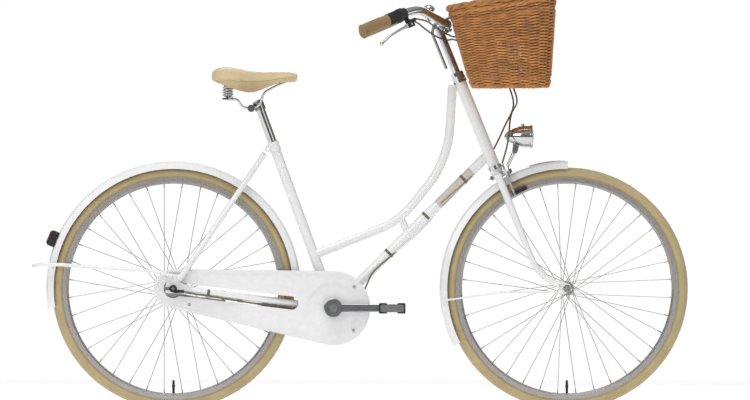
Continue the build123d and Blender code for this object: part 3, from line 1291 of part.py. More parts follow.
save("left_crank", [left_crank, pedal_axle(1)])
for side, name in ((-1, "right"), (1, "left")):
    save(name + "_pedal_frame", pedal_frame(side))
    save(name + "_pedal_rubbers", pedal_rubbers(side))
cover = saddle_cover()
frame_wires = saddle_frame(cover)
save("saddle_cover", cover)
save("saddle_frame", frame_wires + saddle_springs())
save("saddle_clamp", saddle_clamp() - frame_wires[0] - frame_wires[3])
save("seatpost", seatpost)
save("fork", [fork()] + headset_nuts(), steer)
save("headset_cups", headset_cups(), steer)
save("stem", [stem()] + stem_bolts(), steer)
save("handlebar", handlebar(), steer)
save("right_grip", grip(right_grip_length), steer * bar_frame(-1))
save("left_grip", grip(left_grip_length), steer * bar_frame(1))
save("twist_sleeve", twist_sleeve(), steer * bar_frame(-1))
save("shifter_housing", shifter_housing(), steer * bar_frame(-1))
save("lever_bracket", lever_bracket(), steer * bar_frame(-1))
save("brake_lever", brake_lever(), steer * bar_frame(-1))
save("bell", list(bell()), steer)
hook_shapes = [steer * h for h in hooks]
save("basket", basket() - hook_shapes[0] - hook_shapes[1])
save("basket_hooks", hooks, steer)
save("caliper_right", caliper_arm(-1, arm_a_t, right_tail), steer)
save("caliper_left", caliper_arm(1, arm_b_t, left_tail), steer)
save("lamp_bracket", [lamp_bracket()] + [steer * b for b in caliper_bolt()])
lamp, glass = headlamp()
save("headlamp", [lamp, glass])
save("front_stays", front_stays())
save("brake_cable", cable(brake_points(), cable_radius, "brake cable"), steer)
save("front_shift_cable", cable(shift_points(), cable_radius, "front gear cable"), steer)
save("rear_shift_cable", [rear_shift_cable()] + cable_clips())
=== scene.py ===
from math import cos, pi, radians, sin

import bmesh
import bpy
import numpy as np
from mathutils import Matrix, Vector
from mathutils.bvhtree import BVHTree


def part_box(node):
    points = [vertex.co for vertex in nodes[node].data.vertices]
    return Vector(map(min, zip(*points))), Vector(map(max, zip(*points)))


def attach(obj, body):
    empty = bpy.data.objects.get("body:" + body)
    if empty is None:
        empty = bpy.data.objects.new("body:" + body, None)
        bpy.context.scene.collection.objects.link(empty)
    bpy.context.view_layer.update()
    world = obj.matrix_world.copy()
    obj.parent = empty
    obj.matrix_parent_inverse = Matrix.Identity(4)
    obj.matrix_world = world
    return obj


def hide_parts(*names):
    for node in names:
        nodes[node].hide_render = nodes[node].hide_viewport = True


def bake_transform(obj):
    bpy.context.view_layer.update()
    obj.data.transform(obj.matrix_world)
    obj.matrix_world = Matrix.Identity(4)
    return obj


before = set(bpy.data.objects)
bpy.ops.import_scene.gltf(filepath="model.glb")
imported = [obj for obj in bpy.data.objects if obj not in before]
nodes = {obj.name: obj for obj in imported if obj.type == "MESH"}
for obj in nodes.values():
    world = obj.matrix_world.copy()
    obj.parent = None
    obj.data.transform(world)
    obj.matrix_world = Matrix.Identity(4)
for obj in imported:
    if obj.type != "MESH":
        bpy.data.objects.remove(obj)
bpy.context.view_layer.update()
rng = np.random.default_rng(7)

# ------------------------------------------------------------ the part's own sizes, in metres
WHEELBASE, TYRE_R = 1.138, 0.350
REAR_X = (0.405 + 0.005 - WHEELBASE - TYRE_R) / 2
FRONT_X = REAR_X + WHEELBASE
REAR, FRONT = (REAR_X, 0.0, TYRE_R), (FRONT_X, 0.0, TYRE_R)
SH, CH = sin(radians(68.0)), cos(radians(68.0))
STEER_FOOT = (FRONT_X - 0.062 * SH, 0.0, TYRE_R - 0.062 * CH)
BB = (REAR_X + 0.4626, 0.0, 0.2936)


def from_steer(t, y, s):
    return (STEER_FOOT[0] + t * SH - s * CH, y, STEER_FOOT[2] + t * CH + s * SH)


def bar_matrix(side):
    """Frame on the bar end: Z runs inwards along the bar, X points down."""
    end = Vector(from_steer(-0.205, side * 0.300, 0.910))
    c = Vector(from_steer(-0.035, side * 0.205, 0.913))
    z = (c - end).normalized()
    down = Vector((STEER_FOOT[0], 0, STEER_FOOT[2])) - Vector(from_steer(0, 0, 1.0))
    x = (down - z * down.dot(z)).normalized()
    y = z.cross(x)
    m = Matrix((x, y, z)).transposed().to_4x4()
    m.translation = end
    return m


# ------------------------------------------------------------ material nodes
class Mat:
    """A node material around one Principled shader; vectors are in the part's frame, in metres."""

    def __init__(self, name):
        self.m = bpy.data.materials.new(name)
        self.m.use_nodes = True
        self.t = self.m.node_tree
        self.b = self.t.nodes["Principled BSDF"]
        self.pos = self.t.nodes.new("ShaderNodeTexCoord").outputs["Object"]

    def put(self, node, socket, value):
        s = node.inputs[socket]
        if isinstance(value, bpy.types.NodeSocket):
            self.t.links.new(value, s)
        else:
            s.default_value = value

    def math(self, op, *values):
        n = self.t.nodes.new("ShaderNodeMath")
        n.operation = op
        for i, v in enumerate(values):
            self.put(n, i, v)
        return n.outputs[0]

    def vmath(self, op, *values, out="Vector"):
        n = self.t.nodes.new("ShaderNodeVectorMath")
        n.operation = op
        for i, v in enumerate(values):
            self.put(n, i, v)
        return n.outputs[out]

    def split(self, vector):
        n = self.t.nodes.new("ShaderNodeSeparateXYZ")
        self.put(n, 0, vector)
        return n.outputs

    def join(self, x, y, z):
        n = self.t.nodes.new("ShaderNodeCombineXYZ")
        for i, v in enumerate((x, y, z)):
            self.put(n, i, v)
        return n.outputs[0]

    def noise(self, scale, detail=3.0, rough=0.55, vector=None, distortion=0.0):
        n = self.t.nodes.new("ShaderNodeTexNoise")
        self.put(n, "Vector", vector or self.pos)
        for k, v in (("Scale", scale), ("Detail", detail), ("Roughness", rough), ("Distortion", distortion)):
            self.put(n, k, v)
        return n.outputs["Fac"]

    def cells(self, scale, feature="F1", vector=None, out="Distance"):
        n = self.t.nodes.new("ShaderNodeTexVoronoi")
        n.feature = feature
        self.put(n, "Vector", vector or self.pos)
        self.put(n, "Scale", scale)
        return n.outputs[out]

    def remap(self, value, a, b, c, d):
        n = self.t.nodes.new("ShaderNodeMapRange")
        for i, v in enumerate((value, a, b, c, d)):
            self.put(n, i, v)
        return n.outputs[0]

    def mix(self, fac, a, b, kind="RGBA"):
        n = self.t.nodes.new("ShaderNodeMix")
        n.data_type = kind
        k = {"RGBA": (6, 7, 2), "FLOAT": (2, 3, 0)}[kind]
        self.put(n, 0, fac)
        self.put(n, k[0], a if isinstance(a, bpy.types.NodeSocket) or kind == "FLOAT" else (*a, 1.0))
        self.put(n, k[1], b if isinstance(b, bpy.types.NodeSocket) or kind == "FLOAT" else (*b, 1.0))
        return n.outputs[k[2]]

    def bump(self, height, distance, strength=1.0, under=None):
        n = self.t.nodes.new("ShaderNodeBump")
        self.put(n, "Height", height)
        self.put(n, "Distance", distance)
        self.put(n, "Strength", strength)
        if under is not None:
            self.put(n, "Normal", under)
        return n.outputs[0]

    def tone(self):
        n = self.t.nodes.new("ShaderNodeAttribute")
        n.attribute_name = "tone"
        return n.outputs["Fac"]

    def polar(self, centre):
        """(radius, y, angle) about a wheel axle."""
        x, y, z = self.split(self.vmath("SUBTRACT", self.pos, centre))
        r = self.math("SQRT", self.math("ADD", self.math("MULTIPLY", x, x), self.math("MULTIPLY", z, z)))
        return r, y, self.math("ARCTAN2", z, x)

    def beyond(self, direction, point, soft=0.0002):
        """1 past the plane through point across direction, 0 before it."""
        d = self.vmath("DOT_PRODUCT", self.vmath("SUBTRACT", self.pos, point), direction, out="Value")
        return self.remap(d, -soft, soft, 0.0, 1.0)

    def set(self, **values):
        for k, v in values.items():
            self.put(self.b, k.replace("_", " "), v)
        return self.m


WHITE = (0.88, 0.88, 0.88)
CHROME = (0.60, 0.61, 0.61)
CABLE_BROWN = (0.135, 0.118, 0.085)
RIM_GREY = (0.60, 0.57, 0.55)


def paint(name, colour=WHITE, second=None, mask=None, second_rough=0.12, metal2=1.0, grain=900.0):
    """Gloss enamel with a little orange peel, handling marks and dust; second shows where mask is 1."""
    p = Mat(name)
    dust = p.remap(p.noise(9.0, 5.0, 0.65), 0.42, 0.78, 0.0, 1.0)
    worn = tuple(c * 0.965 - 0.003 * i for i, c in enumerate(colour))
    base = p.mix(dust, colour, worn)
    specks = p.remap(p.cells(420.0), 0.035, 0.06, 1.0, 0.0)
    base = p.mix(p.math("MULTIPLY", specks, 0.06), base, (0.50, 0.48, 0.45))
    rough = p.remap(p.noise(60.0, 4.0), 0.3, 0.75, 0.20, 0.34)
    peel = p.noise(grain, 1.5)
    normal = p.bump(peel, 0.00003, 0.12)
    p.set(Coat_Weight=0.35, Coat_Roughness=0.06, IOR=1.5)
    if mask is not None:
        m = mask(p)
        scratched = p.remap(p.noise(240.0, 5.0), 0.35, 0.7, second_rough * 0.7, second_rough * 1.6)
        base = p.mix(m, base, second)
        rough = p.mix(m, rough, scratched, "FLOAT")
        p.set(Metallic=p.math("MULTIPLY", m, metal2))
    return p.set(Base_Color=base, Roughness=rough, Normal=normal)


def metal(name, colour, rough, spread=0.6, scale=90.0, stain=(0.45, 0.40, 0.34), stained=0.25, mask=None,
          other=(0.02, 0.02, 0.02), other_rough=0.6, brush=None, bump=0.00003):
    """Plated or machined metal: fine scratches, cloudy patches, a trace of tarnish."""
    p = Mat(name)
    v = brush(p) if brush else p.pos
    fine = p.noise(scale * 6, 4.0, 0.6, v)
    cloud = p.noise(14.0, 4.0, 0.6)
    tarnish = p.math("MULTIPLY", p.remap(cloud, 0.52, 0.8, 0.0, 1.0), stained)
    base = p.mix(tarnish, colour, tuple(a * b * 1.6 for a, b in zip(colour, stain)))
    base = p.mix(p.remap(fine, 0.3, 0.8, 0.0, 0.35), base, tuple(c * 0.78 for c in colour))
    r = p.remap(fine, 0.25, 0.8, rough * (1 - spread * 0.5), rough * (1 + spread))
    metallic = 1.0
    if mask is not None:
        m = mask(p)
        base = p.mix(m, base, other)
        r = p.mix(m, r, other_rough, "FLOAT")
        metallic = p.math("SUBTRACT", 1.0, m)
    return p.set(Base_Color=base, Roughness=r, Metallic=metallic, Normal=p.bump(fine, bump, 0.4))


def ring_brush(centre):
    def make(p):
        r, y, a = p.polar(centre)
        return p.join(p.math("MULTIPLY", r, 3.0), p.math("MULTIPLY", y, 3.0), p.math("MULTIPLY", a, 0.02))
    return make


def rubber(name, colour, rough=0.72, grain=700.0, depth=0.00008):
    p = Mat(name)
    blotch = p.noise(26.0, 5.0, 0.6)
    base = p.mix(p.remap(blotch, 0.35, 0.7, 0.0, 1.0), colour, tuple(c * 0.78 for c in colour))
    fine = p.noise(grain, 3.0)
    dusty = p.remap(p.noise(120.0, 4.0), 0.5, 0.8, 0.0, 0.12)
    base = p.mix(dusty, base, (0.40, 0.37, 0.32))
    return p.set(Base_Color=base, Roughness=p.remap(fine, 0.3, 0.7, rough - 0.1, rough + 0.12),
                 Normal=p.bump(fine, depth, 0.6), Specular_IOR_Level=0.35)


def tyre_material(name, centre):
    """Cream rubber: mould lines on the side walls, road dust on the tread, darker in a band next to the rim."""
    p = Mat(name)
    r, y, a = p.polar(centre)
    blotch = p.noise(16.0, 5.0, 0.62)
    base = p.mix(p.remap(blotch, 0.32, 0.72, 0.0, 1.0), (0.530, 0.430, 0.238), (0.440, 0.350, 0.185))
    tread = p.remap(r, 0.3435, 0.3475, 0.0, 1.0)
    road = p.remap(p.noise(55.0, 5.0, 0.7), 0.35, 0.75, 0.15, 0.65)
    base = p.mix(p.math("MULTIPLY", tread, road), base, (0.56, 0.48, 0.32))
    # darker tan band on the tyre next to the rim, fading out by 0.3285 m from the axle
    bead = p.remap(r, 0.3245, 0.3285, 1.0, 0.0)
    base = p.mix(p.math("MULTIPLY", bead, 0.55), base, (0.25, 0.20, 0.12))
    lines = p.math("SINE", p.math("MULTIPLY", r, 2 * pi / 0.0021))
    threads = p.math("SINE", p.math("ADD", p.math("MULTIPLY", a, 900.0), p.math("MULTIPLY", r, 2600.0)))
    side = p.math("SUBTRACT", 1.0, tread)
    height = p.math("ADD", p.math("MULTIPLY", p.math("MULTIPLY", lines, 0.5), side), p.math("MULTIPLY", threads, 0.16))
    grain = p.bump(p.noise(900.0, 3.0), 0.00006, 0.5)
    return p.set(Base_Color=base, Roughness=p.remap(p.noise(200.0, 4.0), 0.3, 0.7, 0.62, 0.86),
                 Normal=p.bump(height, 0.00012, 0.5, grain), Specular_IOR_Level=0.3)


def leather(name, light, dark, low=None, high=None, edge=(0.45, 0.315, 0.155), grain=620.0, rough=0.46):
    """Dyed leather: pebbled grain, pores, rubbed light patches and darker lower edges."""
    p = Mat(name)
    patch = p.noise(11.0, 5.0, 0.6, distortion=0.4)
    base = p.mix(p.remap(patch, 0.33, 0.7, 0.0, 1.0), light, dark)
    pebble = p.cells(grain, "DISTANCE_TO_EDGE")
    crease = p.remap(pebble, 0.0, 0.09, 1.0, 0.0)
    base = p.mix(p.math("MULTIPLY", crease, 0.38), base, tuple(c * 0.55 for c in dark))
    if low is not None:
        z = p.split(p.pos)[2]
        uneven = p.math("ADD", z, p.math("MULTIPLY", p.noise(40.0, 3.0), 0.006))
        base = p.mix(p.remap(uneven, low, high, 0.75, 0.0), base, edge)
    pores = p.noise(1500.0, 2.0)
    normal = p.bump(p.remap(pebble, 0.0, 0.14, 0.0, 1.0), 0.00022, 0.55, p.bump(pores, 0.00006, 0.5))
    return p.set(Base_Color=base, Roughness=p.remap(patch, 0.3, 0.7, rough - 0.07, rough + 0.12), Normal=normal,
                 Coat_Weight=0.12, Coat_Roughness=0.35)


def willow(name):
    """Buff willow: each rod has its own tone, painted darker as shade where it bows in behind the stakes and lighter
    where it bows out in front, long fibres, dark knots and a waxy bark sheen.
    """
    p = Mat(name)
    tone = p.tone()
    # the tone attribute holds each rod's own random tone plus the painted shade of the weave
    rod_tone_and_shade = p.mix(tone, (0.20, 0.066, 0.010), (0.66, 0.275, 0.068))
    fibres = p.noise(420.0, 4.0, 0.65, distortion=0.6)
    base = p.mix(p.remap(fibres, 0.34, 0.72, 0.0, 0.55), rod_tone_and_shade, (0.70, 0.36, 0.13))
    patches = p.remap(p.noise(34.0, 4.0), 0.36, 0.62, 0.45, 0.0)
    base = p.mix(patches, base, (0.22, 0.072, 0.014))
    knots = p.remap(p.cells(75.0), 0.05, 0.14, 0.7, 0.0)
    base = p.mix(knots, base, (0.12, 0.045, 0.012))
    normal = p.bump(fibres, 0.00025, 0.5)
    return p.set(Base_Color=base, Roughness=p.remap(fibres, 0.3, 0.7, 0.42, 0.66), Normal=normal,
                 Coat_Weight=0.08, Coat_Roughness=0.4)


# ------------------------------------------------------------ masks for two-tone nodes
STEER_AXIS = (-CH, 0.0, SH)


def nut_mask(p):
    return p.beyond(STEER_AXIS, from_steer(0, 0, 0.6755))


def crest_mask(p):
    r, y, a = p.polar(FRONT)
    return p.remap(r, 0.36905, 0.3692, 0.0, 1.0)


def shell_mask(p):
    y = p.math("ABSOLUTE", p.split(p.pos)[1])
    return p.remap(y, 0.0345, 0.0349, 0.0, 1.0)


def screw_mask(p):
    """The chaincase's screw heads stand proud of its bead."""
    y = p.split(p.pos)[1]
    return p.remap(y, -0.0563, -0.0562, 1.0, 0.0)


DECAL_A, DECAL_B = Vector((REAR_X + 0.7687, 0, 0.5866)), Vector((REAR_X + 0.8745, 0, 0.6784))


def decal_material(name):
    """White tube with a pale wrapped band and plain brown bars, no lettering."""
    p = Mat(name)
    along = (DECAL_B - DECAL_A).normalized()
    span = (DECAL_B - DECAL_A).length
    distance = p.vmath("DOT_PRODUCT", p.vmath("SUBTRACT", p.pos, tuple(DECAL_A)), tuple(along), out="Value")
    u = p.math("DIVIDE", distance, span)
    across = (-along.z, 0, along.x)
    v = p.vmath("DOT_PRODUCT", p.vmath("SUBTRACT", p.pos, tuple(DECAL_A)), across, out="Value")
    band = p.math("MULTIPLY", p.remap(u, 0.0, 0.006, 0.0, 1.0), p.remap(u, 0.994, 1.0, 1.0, 0.0))
    inner = p.math("MULTIPLY", p.remap(u, 0.07, 0.076, 0.0, 1.0), p.remap(u, 0.924, 0.93, 1.0, 0.0))
    bar = p.math("MULTIPLY", inner, p.remap(p.math("ABSOLUTE", p.math("SUBTRACT", p.math("ABSOLUTE", v), 0.0046)),
                                            0.0022, 0.0025, 1.0, 0.0))
    dust = p.remap(p.noise(9.0, 5.0, 0.65), 0.42, 0.78, 0.0, 1.0)
    base = p.mix(dust, WHITE, tuple(c * 0.93 for c in WHITE))
    fade = p.remap(p.noise(300.0, 4.0), 0.3, 0.7, 0.8, 1.0)
    base = p.mix(p.math("MULTIPLY", band, fade), base, (0.56, 0.52, 0.43))
    base = p.mix(p.math("MULTIPLY", bar, fade), base, (0.27, 0.205, 0.115))
    rough = p.mix(band, p.remap(p.noise(60.0, 4.0), 0.3, 0.75, 0.20, 0.34), 0.42, "FLOAT")
    return p.set(Base_Color=base, Roughness=rough, Normal=p.bump(p.noise(900.0, 1.5), 0.00003, 0.12),
                 Coat_Weight=0.3, Coat_Roughness=0.08)


def pad_mask(p):
    """Rubber brake blocks at the foot of the caliper arms."""
    s = p.vmath("DOT_PRODUCT", p.vmath("SUBTRACT", p.pos, STEER_FOOT), STEER_AXIS, out="Value")
    y = p.math("ABSOLUTE", p.split(p.pos)[1])
    return p.math("MULTIPLY", p.remap(s, 0.3225, 0.3232, 1.0, 0.0), p.remap(y, 0.0294, 0.0298, 1.0, 0.0))


def clip_mask(p):
    """1 on the clip bands that hug the down tube, 0 on the cable outside them."""
    axis = (DECAL_B - DECAL_A).normalized()
    rel = p.vmath("SUBTRACT", p.pos, BB)
    along = p.vmath("DOT_PRODUCT", rel, tuple(axis), out="Value")
    n = p.t.nodes.new("ShaderNodeVectorMath")
    n.operation = "SCALE"
    n.inputs[0].default_value = tuple(axis)
    p.t.links.new(along, n.inputs["Scale"])
    away = p.vmath("LENGTH", p.vmath("SUBTRACT", rel, n.outputs[0]), out="Value")
    return p.remap(away, 0.0156, 0.0160, 1.0, 0.0)


def lens_material(name, colour, ribs):
    p = Mat(name)
    x, y, z = p.split(p.pos)
    wave = p.math("SINE", p.math("MULTIPLY", y, ribs))
    grid = p.math("MULTIPLY", wave, p.math("SINE", p.math("MULTIPLY", z, ribs)))
    deep = p.remap(p.noise(30.0, 3.0), 0.3, 0.7, 0.0, 1.0)
    return p.set(Base_Color=p.mix(deep, colour, tuple(c * 0.7 for c in colour)),
                 Roughness=p.remap(p.noise(180.0, 3.0), 0.3, 0.7, 0.05, 0.14),
                 Normal=p.bump(grid, 0.0003, 0.5), Coat_Weight=0.6, Coat_Roughness=0.03)


def glass_material(name):
    p = Mat(name)
    y = p.split(p.pos)[1]
    ribs = p.math("SINE", p.math("MULTIPLY", y, 2 * pi / 0.004))
    smear = p.noise(60.0, 4.0)
    return p.set(Base_Color=p.mix(p.remap(smear, 0.3, 0.7, 0.0, 1.0), (0.93, 0.95, 0.95), (0.84, 0.87, 0.87)),
                 Roughness=p.remap(smear, 0.3, 0.75, 0.03, 0.10), Normal=p.bump(ribs, 0.0004, 0.4),
                 Transmission_Weight=0.75, IOR=1.48)


M = {
    "paint": paint("white_enamel"),
    "fork": paint("white_enamel_fork", second=CHROME, mask=nut_mask),
    "shell": paint("white_enamel_shell", second=(0.42, 0.42, 0.42), mask=shell_mask, second_rough=0.3),
    "front_guard": paint("white_enamel_crest", second=CHROME, mask=crest_mask),
    "case": paint("white_chaincase", colour=(0.90, 0.893, 0.898), second=(0.45, 0.45, 0.45), mask=screw_mask,
                  second_rough=0.28, grain=500.0),
    "decal": decal_material("white_enamel_bars"),
    "chrome": metal("chrome_plate", CHROME, 0.10),
    "lamp": metal("chrome_lamp", (0.64, 0.65, 0.65), 0.09, stained=0.12),
    "dark_chrome": metal("worn_chrome", (0.40, 0.41, 0.41), 0.20, stained=0.4),
    "alloy": metal("polished_alloy", (0.62, 0.62, 0.61), 0.22, stained=0.2),
    "steel": metal("zinc_steel", (0.43, 0.43, 0.42), 0.34, stained=0.35),
    "spoke": metal("spoke_wire", (0.46, 0.46, 0.45), 0.30, stained=0.3),
    "chain": metal("oiled_chain", (0.28, 0.26, 0.23), 0.38, stained=0.6),
    "rear_rim": metal("rim_brushed_rear", RIM_GREY, 0.27, scale=160.0, brush=ring_brush(REAR),
                     stained=0.15),
    "front_rim": metal("rim_brushed_front", RIM_GREY, 0.27, scale=160.0, brush=ring_brush(FRONT),
                      stained=0.15),
    "caliper": metal("caliper_alloy", (0.60, 0.60, 0.59), 0.24, mask=pad_mask, other=(0.015, 0.015, 0.014)),
    "rear_tyre": tyre_material("tyre_rubber_rear", REAR),
    "front_tyre": tyre_material("tyre_rubber_front", FRONT),
    "black_rubber": rubber("black_rubber", (0.022, 0.022, 0.021), grain=900.0),
    "black_plastic": rubber("black_plastic", (0.018, 0.018, 0.018), rough=0.42, grain=1300.0, depth=0.00004),
    "cable": rubber("cable_sleeve", CABLE_BROWN, rough=0.4, grain=500.0, depth=0.00003),
    "clipped": paint("cable_and_clips", colour=CABLE_BROWN, second=WHITE, mask=clip_mask, second_rough=0.3,
                     metal2=0.0),
    "red_lens": lens_material("tail_lens_red", (0.16, 0.008, 0.008), 2 * pi / 0.003),
    "glass": glass_material("lamp_glass"),
    "saddle": leather("saddle_leather", (0.78, 0.635, 0.385), (0.66, 0.505, 0.275), 0.925, 0.957),
    "grip": leather("grip_leather", (0.375, 0.250, 0.118), (0.285, 0.182, 0.080), grain=900.0, rough=0.62),
    "thread": rubber("waxed_thread", (0.50, 0.38, 0.20), rough=0.6, grain=2200.0, depth=0.00005),
    "willow": willow("buff_willow"),
}

CAD_LOOKS = {
    "paint": ["seat_tube", "head_tube", "top_tube", "chainstays", "seatstays", "rear_mudguard", "rear_hoop",
              "front_stays"],
    "fork": ["fork"], "shell": ["bottom_bracket_shell"], "front_guard": ["front_mudguard"], "decal": ["down_tube"],
    "case": ["chaincase_outer", "chaincase_inner"],
    "chrome": ["right_crank", "left_crank", "handlebar", "stem", "bell", "seatpost", "lamp_bracket", "saddle_frame",
               "headset_cups"],
    "dark_chrome": ["crank_spindle", "saddle_clamp", "left_pedal_frame", "right_pedal_frame"],
    "alloy": ["rear_hub", "front_hub", "brake_lever"],
    "caliper": ["caliper_right", "caliper_left"],
    "steel": ["rear_axle", "front_axle", "basket_hooks", "chainring", "rear_sprocket"],
    "spoke": ["rear_spokes", "front_spokes"], "rear_rim": ["rear_rim"], "front_rim": ["front_rim"],
    "chain": ["chain"], "red_lens": ["tail_lens"],
    "black_rubber": ["left_pedal_rubbers", "right_pedal_rubbers", "twist_sleeve"],
    "black_plastic": ["tail_lamp", "shift_bellcrank", "shifter_housing", "lever_bracket"],
    "clipped": ["rear_shift_cable"],
}
for look, names in CAD_LOOKS.items():
    for n in names:
        nodes[n].data.materials.clear()
        nodes[n].data.materials.append(M[look])


# ------------------------------------------------------------ mesh helpers
class Shape:
    """Collects quads and triangles, with a tone for each vertex."""

    def __init__(self):
        self.v, self.f, self.tones, self.count = [], [], [], 0

    def add(self, verts, faces, tone=0.5):
        verts = np.asarray(verts, float).reshape(-1, 3)
        self.f += [[i + self.count for i in face] for face in faces]
        self.v.append(verts)
        self.tones.append(np.broadcast_to(tone, (len(verts),)))
        self.count += len(verts)

    def grid(self, rows, closed_u, closed_v, tone=0.5, caps=False):
        """rows is (n, m, 3): n rings of m points."""
        n, m = rows.shape[:2]
        faces = []
        for i in range(n if closed_u else n - 1):
            a, b = i * m, (i + 1) % n * m
            for j in range(m if closed_v else m - 1):
                k = (j + 1) % m
                faces.append((a + j, a + k, b + k, b + j))
        if caps:
            faces.append(tuple(range(m))[::-1])
            faces.append(tuple((n - 1) * m + j for j in range(m)))
        self.add(rows, faces, tone)

    def tube(self, points, radius, sides=6, closed=False, up=(0, 0, 1), tone=0.5):
        p = np.asarray(points, float)
        if closed:
            t = np.roll(p, -1, 0) - np.roll(p, 1, 0)
        else:
            t = np.gradient(p, axis=0)
        t /= np.linalg.norm(t, axis=1)[:, None]
        s = np.cross(t, np.asarray(up, float))
        s /= np.linalg.norm(s, axis=1)[:, None]
        n = np.cross(s, t)
        a = np.linspace(0, 2 * pi, sides, endpoint=False)
        r = np.broadcast_to(np.asarray(radius, float), (len(p),))[:, None, None]
        ring = p[:, None, :] + r * (np.cos(a)[None, :, None] * s[:, None, :] + np.sin(a)[None, :, None] * n[:, None, :])
        self.grid(ring, closed, True, tone, caps=not closed)

    def lathe(self, profile, segments, matrix):
        """profile is (radius, along) pairs about the matrix's Z axis; both ends are capped."""
        prof = np.asarray(profile, float)
        a = np.linspace(0, 2 * pi, segments, endpoint=False)
        rows = np.stack([np.stack([r * np.cos(a), r * np.sin(a), np.full(segments, z)], -1) for r, z in prof])
        m = np.array(matrix)
        rows = rows @ m[:3, :3].T + m[:3, 3]
        self.grid(rows, False, True, caps=True)

    def make(self, name, material, body, angle=None):
        me = bpy.data.meshes.new(name)
        me.from_pydata(np.concatenate(self.v).tolist(), [], self.f)
        at = me.attributes.new("tone", "FLOAT", "POINT")
        at.data.foreach_set("value", np.concatenate(self.tones).astype(np.float32))
        me.materials.append(material)
        me.validate()
        me.shade_smooth()
        o = bpy.data.objects.new(name, me)
        bpy.context.scene.collection.objects.link(o)
        fix_normals(o)
        if angle:
            me.set_sharp_from_angle(angle=radians(angle))
        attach(o, body)
        return o


def fix_normals(o):
    bm = bmesh.new()
    bm.from_mesh(o.data)
    bmesh.ops.remove_doubles(bm, verts=bm.verts, dist=1e-7)
    bmesh.ops.recalc_face_normals(bm, faces=bm.faces)
    bm.to_mesh(o.data)
    bm.free()


def turned(axis, at, roll=(0, 0, 1)):
    """Matrix with local Z along axis, at a place."""
    z = Vector(axis).normalized()
    x = Vector(roll)
    if abs(x.dot(z)) > 0.95:
        x = Vector((1, 0, 0))
    x = (x - z * x.dot(z)).normalized()
    m = Matrix((x, z.cross(x), z)).transposed().to_4x4()
    m.translation = Vector(at)
    return m


# ------------------------------------------------------------ camera, light and stage
cam = bpy.data.cameras.new("camera")
camera = bpy.data.objects.new("camera", cam)
bpy.context.scene.collection.objects.link(camera)
bpy.context.scene.camera = camera
VIEW_WIDTH, CAMERA_BACK = 2.170, 42.0
cam.sensor_width = 36.0
cam.lens = 36.0 * CAMERA_BACK / VIEW_WIDTH
camera.location = (0.044, -CAMERA_BACK, 0.606)
camera.rotation_euler = (radians(90), 0, 0)
cam.clip_end = 200.0

fp = Mat("studio_floor")
floor_tone = fp.mix(fp.remap(fp.noise(2.0, 4.0), 0.3, 0.7, 0.0, 1.0), (0.93, 0.93, 0.93), (0.91, 0.91, 0.91))
fp.set(Base_Color=floor_tone, Roughness=fp.remap(fp.noise(5.0), 0.3, 0.7, 0.6, 0.8), Specular_IOR_Level=0.1,
       Emission_Color=(1.0, 1.0, 1.0, 1.0), Emission_Strength=0.22)
me = bpy.data.meshes.new("studio_floor")
FLOOR_R = 7.0
me.from_pydata([(FLOOR_R * cos(a), FLOOR_R * sin(a), -0.0005) for a in np.linspace(0, 2 * pi, 64, endpoint=False)], [],
               [list(range(64))])
me.materials.append(fp.m)
floor_object = bpy.data.objects.new("studio_floor", me)
bpy.context.scene.collection.objects.link(floor_object)

world = bpy.data.worlds.new("studio")
bpy.context.scene.world = world
world.use_nodes = True
wt = world.node_tree
back = wt.nodes["Background"]
seen = wt.nodes.new("ShaderNodeBackground")
seen.inputs[0].default_value = (1, 1, 1, 1)
seen.inputs[1].default_value = 1.02
coord = wt.nodes.new("ShaderNodeTexCoord")
sep = wt.nodes.new("ShaderNodeSeparateXYZ")
wt.links.new(coord.outputs["Generated"], sep.inputs[0])
ramp = wt.nodes.new("ShaderNodeValToRGB")
wt.links.new(sep.outputs[2], ramp.inputs[0])
ramp.color_ramp.elements[0].position, ramp.color_ramp.elements[0].color = 0.0, (0.30, 0.31, 0.32, 1)
ramp.color_ramp.elements[1].position, ramp.color_ramp.elements[1].color = 0.75, (1.0, 1.0, 1.0, 1)
mid = ramp.color_ramp.elements.new(0.22)
mid.color = (0.42, 0.43, 0.44, 1)
wt.links.new(ramp.outputs[0], back.inputs[0])
back.inputs[1].default_value = 0.45
paths = wt.nodes.new("ShaderNodeLightPath")
either = wt.nodes.new("ShaderNodeMixShader")
wt.links.new(paths.outputs["Is Camera Ray"], either.inputs[0])
wt.links.new(back.outputs[0], either.inputs[1])
wt.links.new(seen.outputs[0], either.inputs[2])
wt.links.new(either.outputs[0], wt.nodes["World Output"].inputs["Surface"])
bpy.context.scene.view_settings.view_transform = "Standard"


def light(name, kind, at, energy, size=1.0, aim=(0.0, 0.0, 0.55), size_y=None):
    data = bpy.data.lights.new(name, kind)
    data.energy = energy
    if kind == "AREA":
        data.shape = "RECTANGLE"
        data.size, data.size_y = size, size_y or size
    else:
        data.angle = size
    o = bpy.data.objects.new(name, data)
    bpy.context.scene.collection.objects.link(o)
    o.location = at
    o.rotation_mode = "QUATERNION"
    o.rotation_quaternion = (Vector(aim) - Vector(at)).to_track_quat("-Z", "Y")


light("sun", "SUN", (-1.0, -1.8, 7.0), 1.5, radians(35))
light("key_left", "AREA", (-2.6, -4.2, 2.6), 48.0, 2.6, size_y=1.8)
light("fill_right", "AREA", (3.4, -3.6, 1.9), 17.0, 2.0, size_y=2.4)
light("rim_back", "AREA", (0.5, 4.2, 3.0), 36.0, 3.2, size_y=1.4)

# ------------------------------------------------------------ tyres with moulded tread, and valves
TYRE_CENTRE, TYRE_HALF = 0.3309, 0.0191


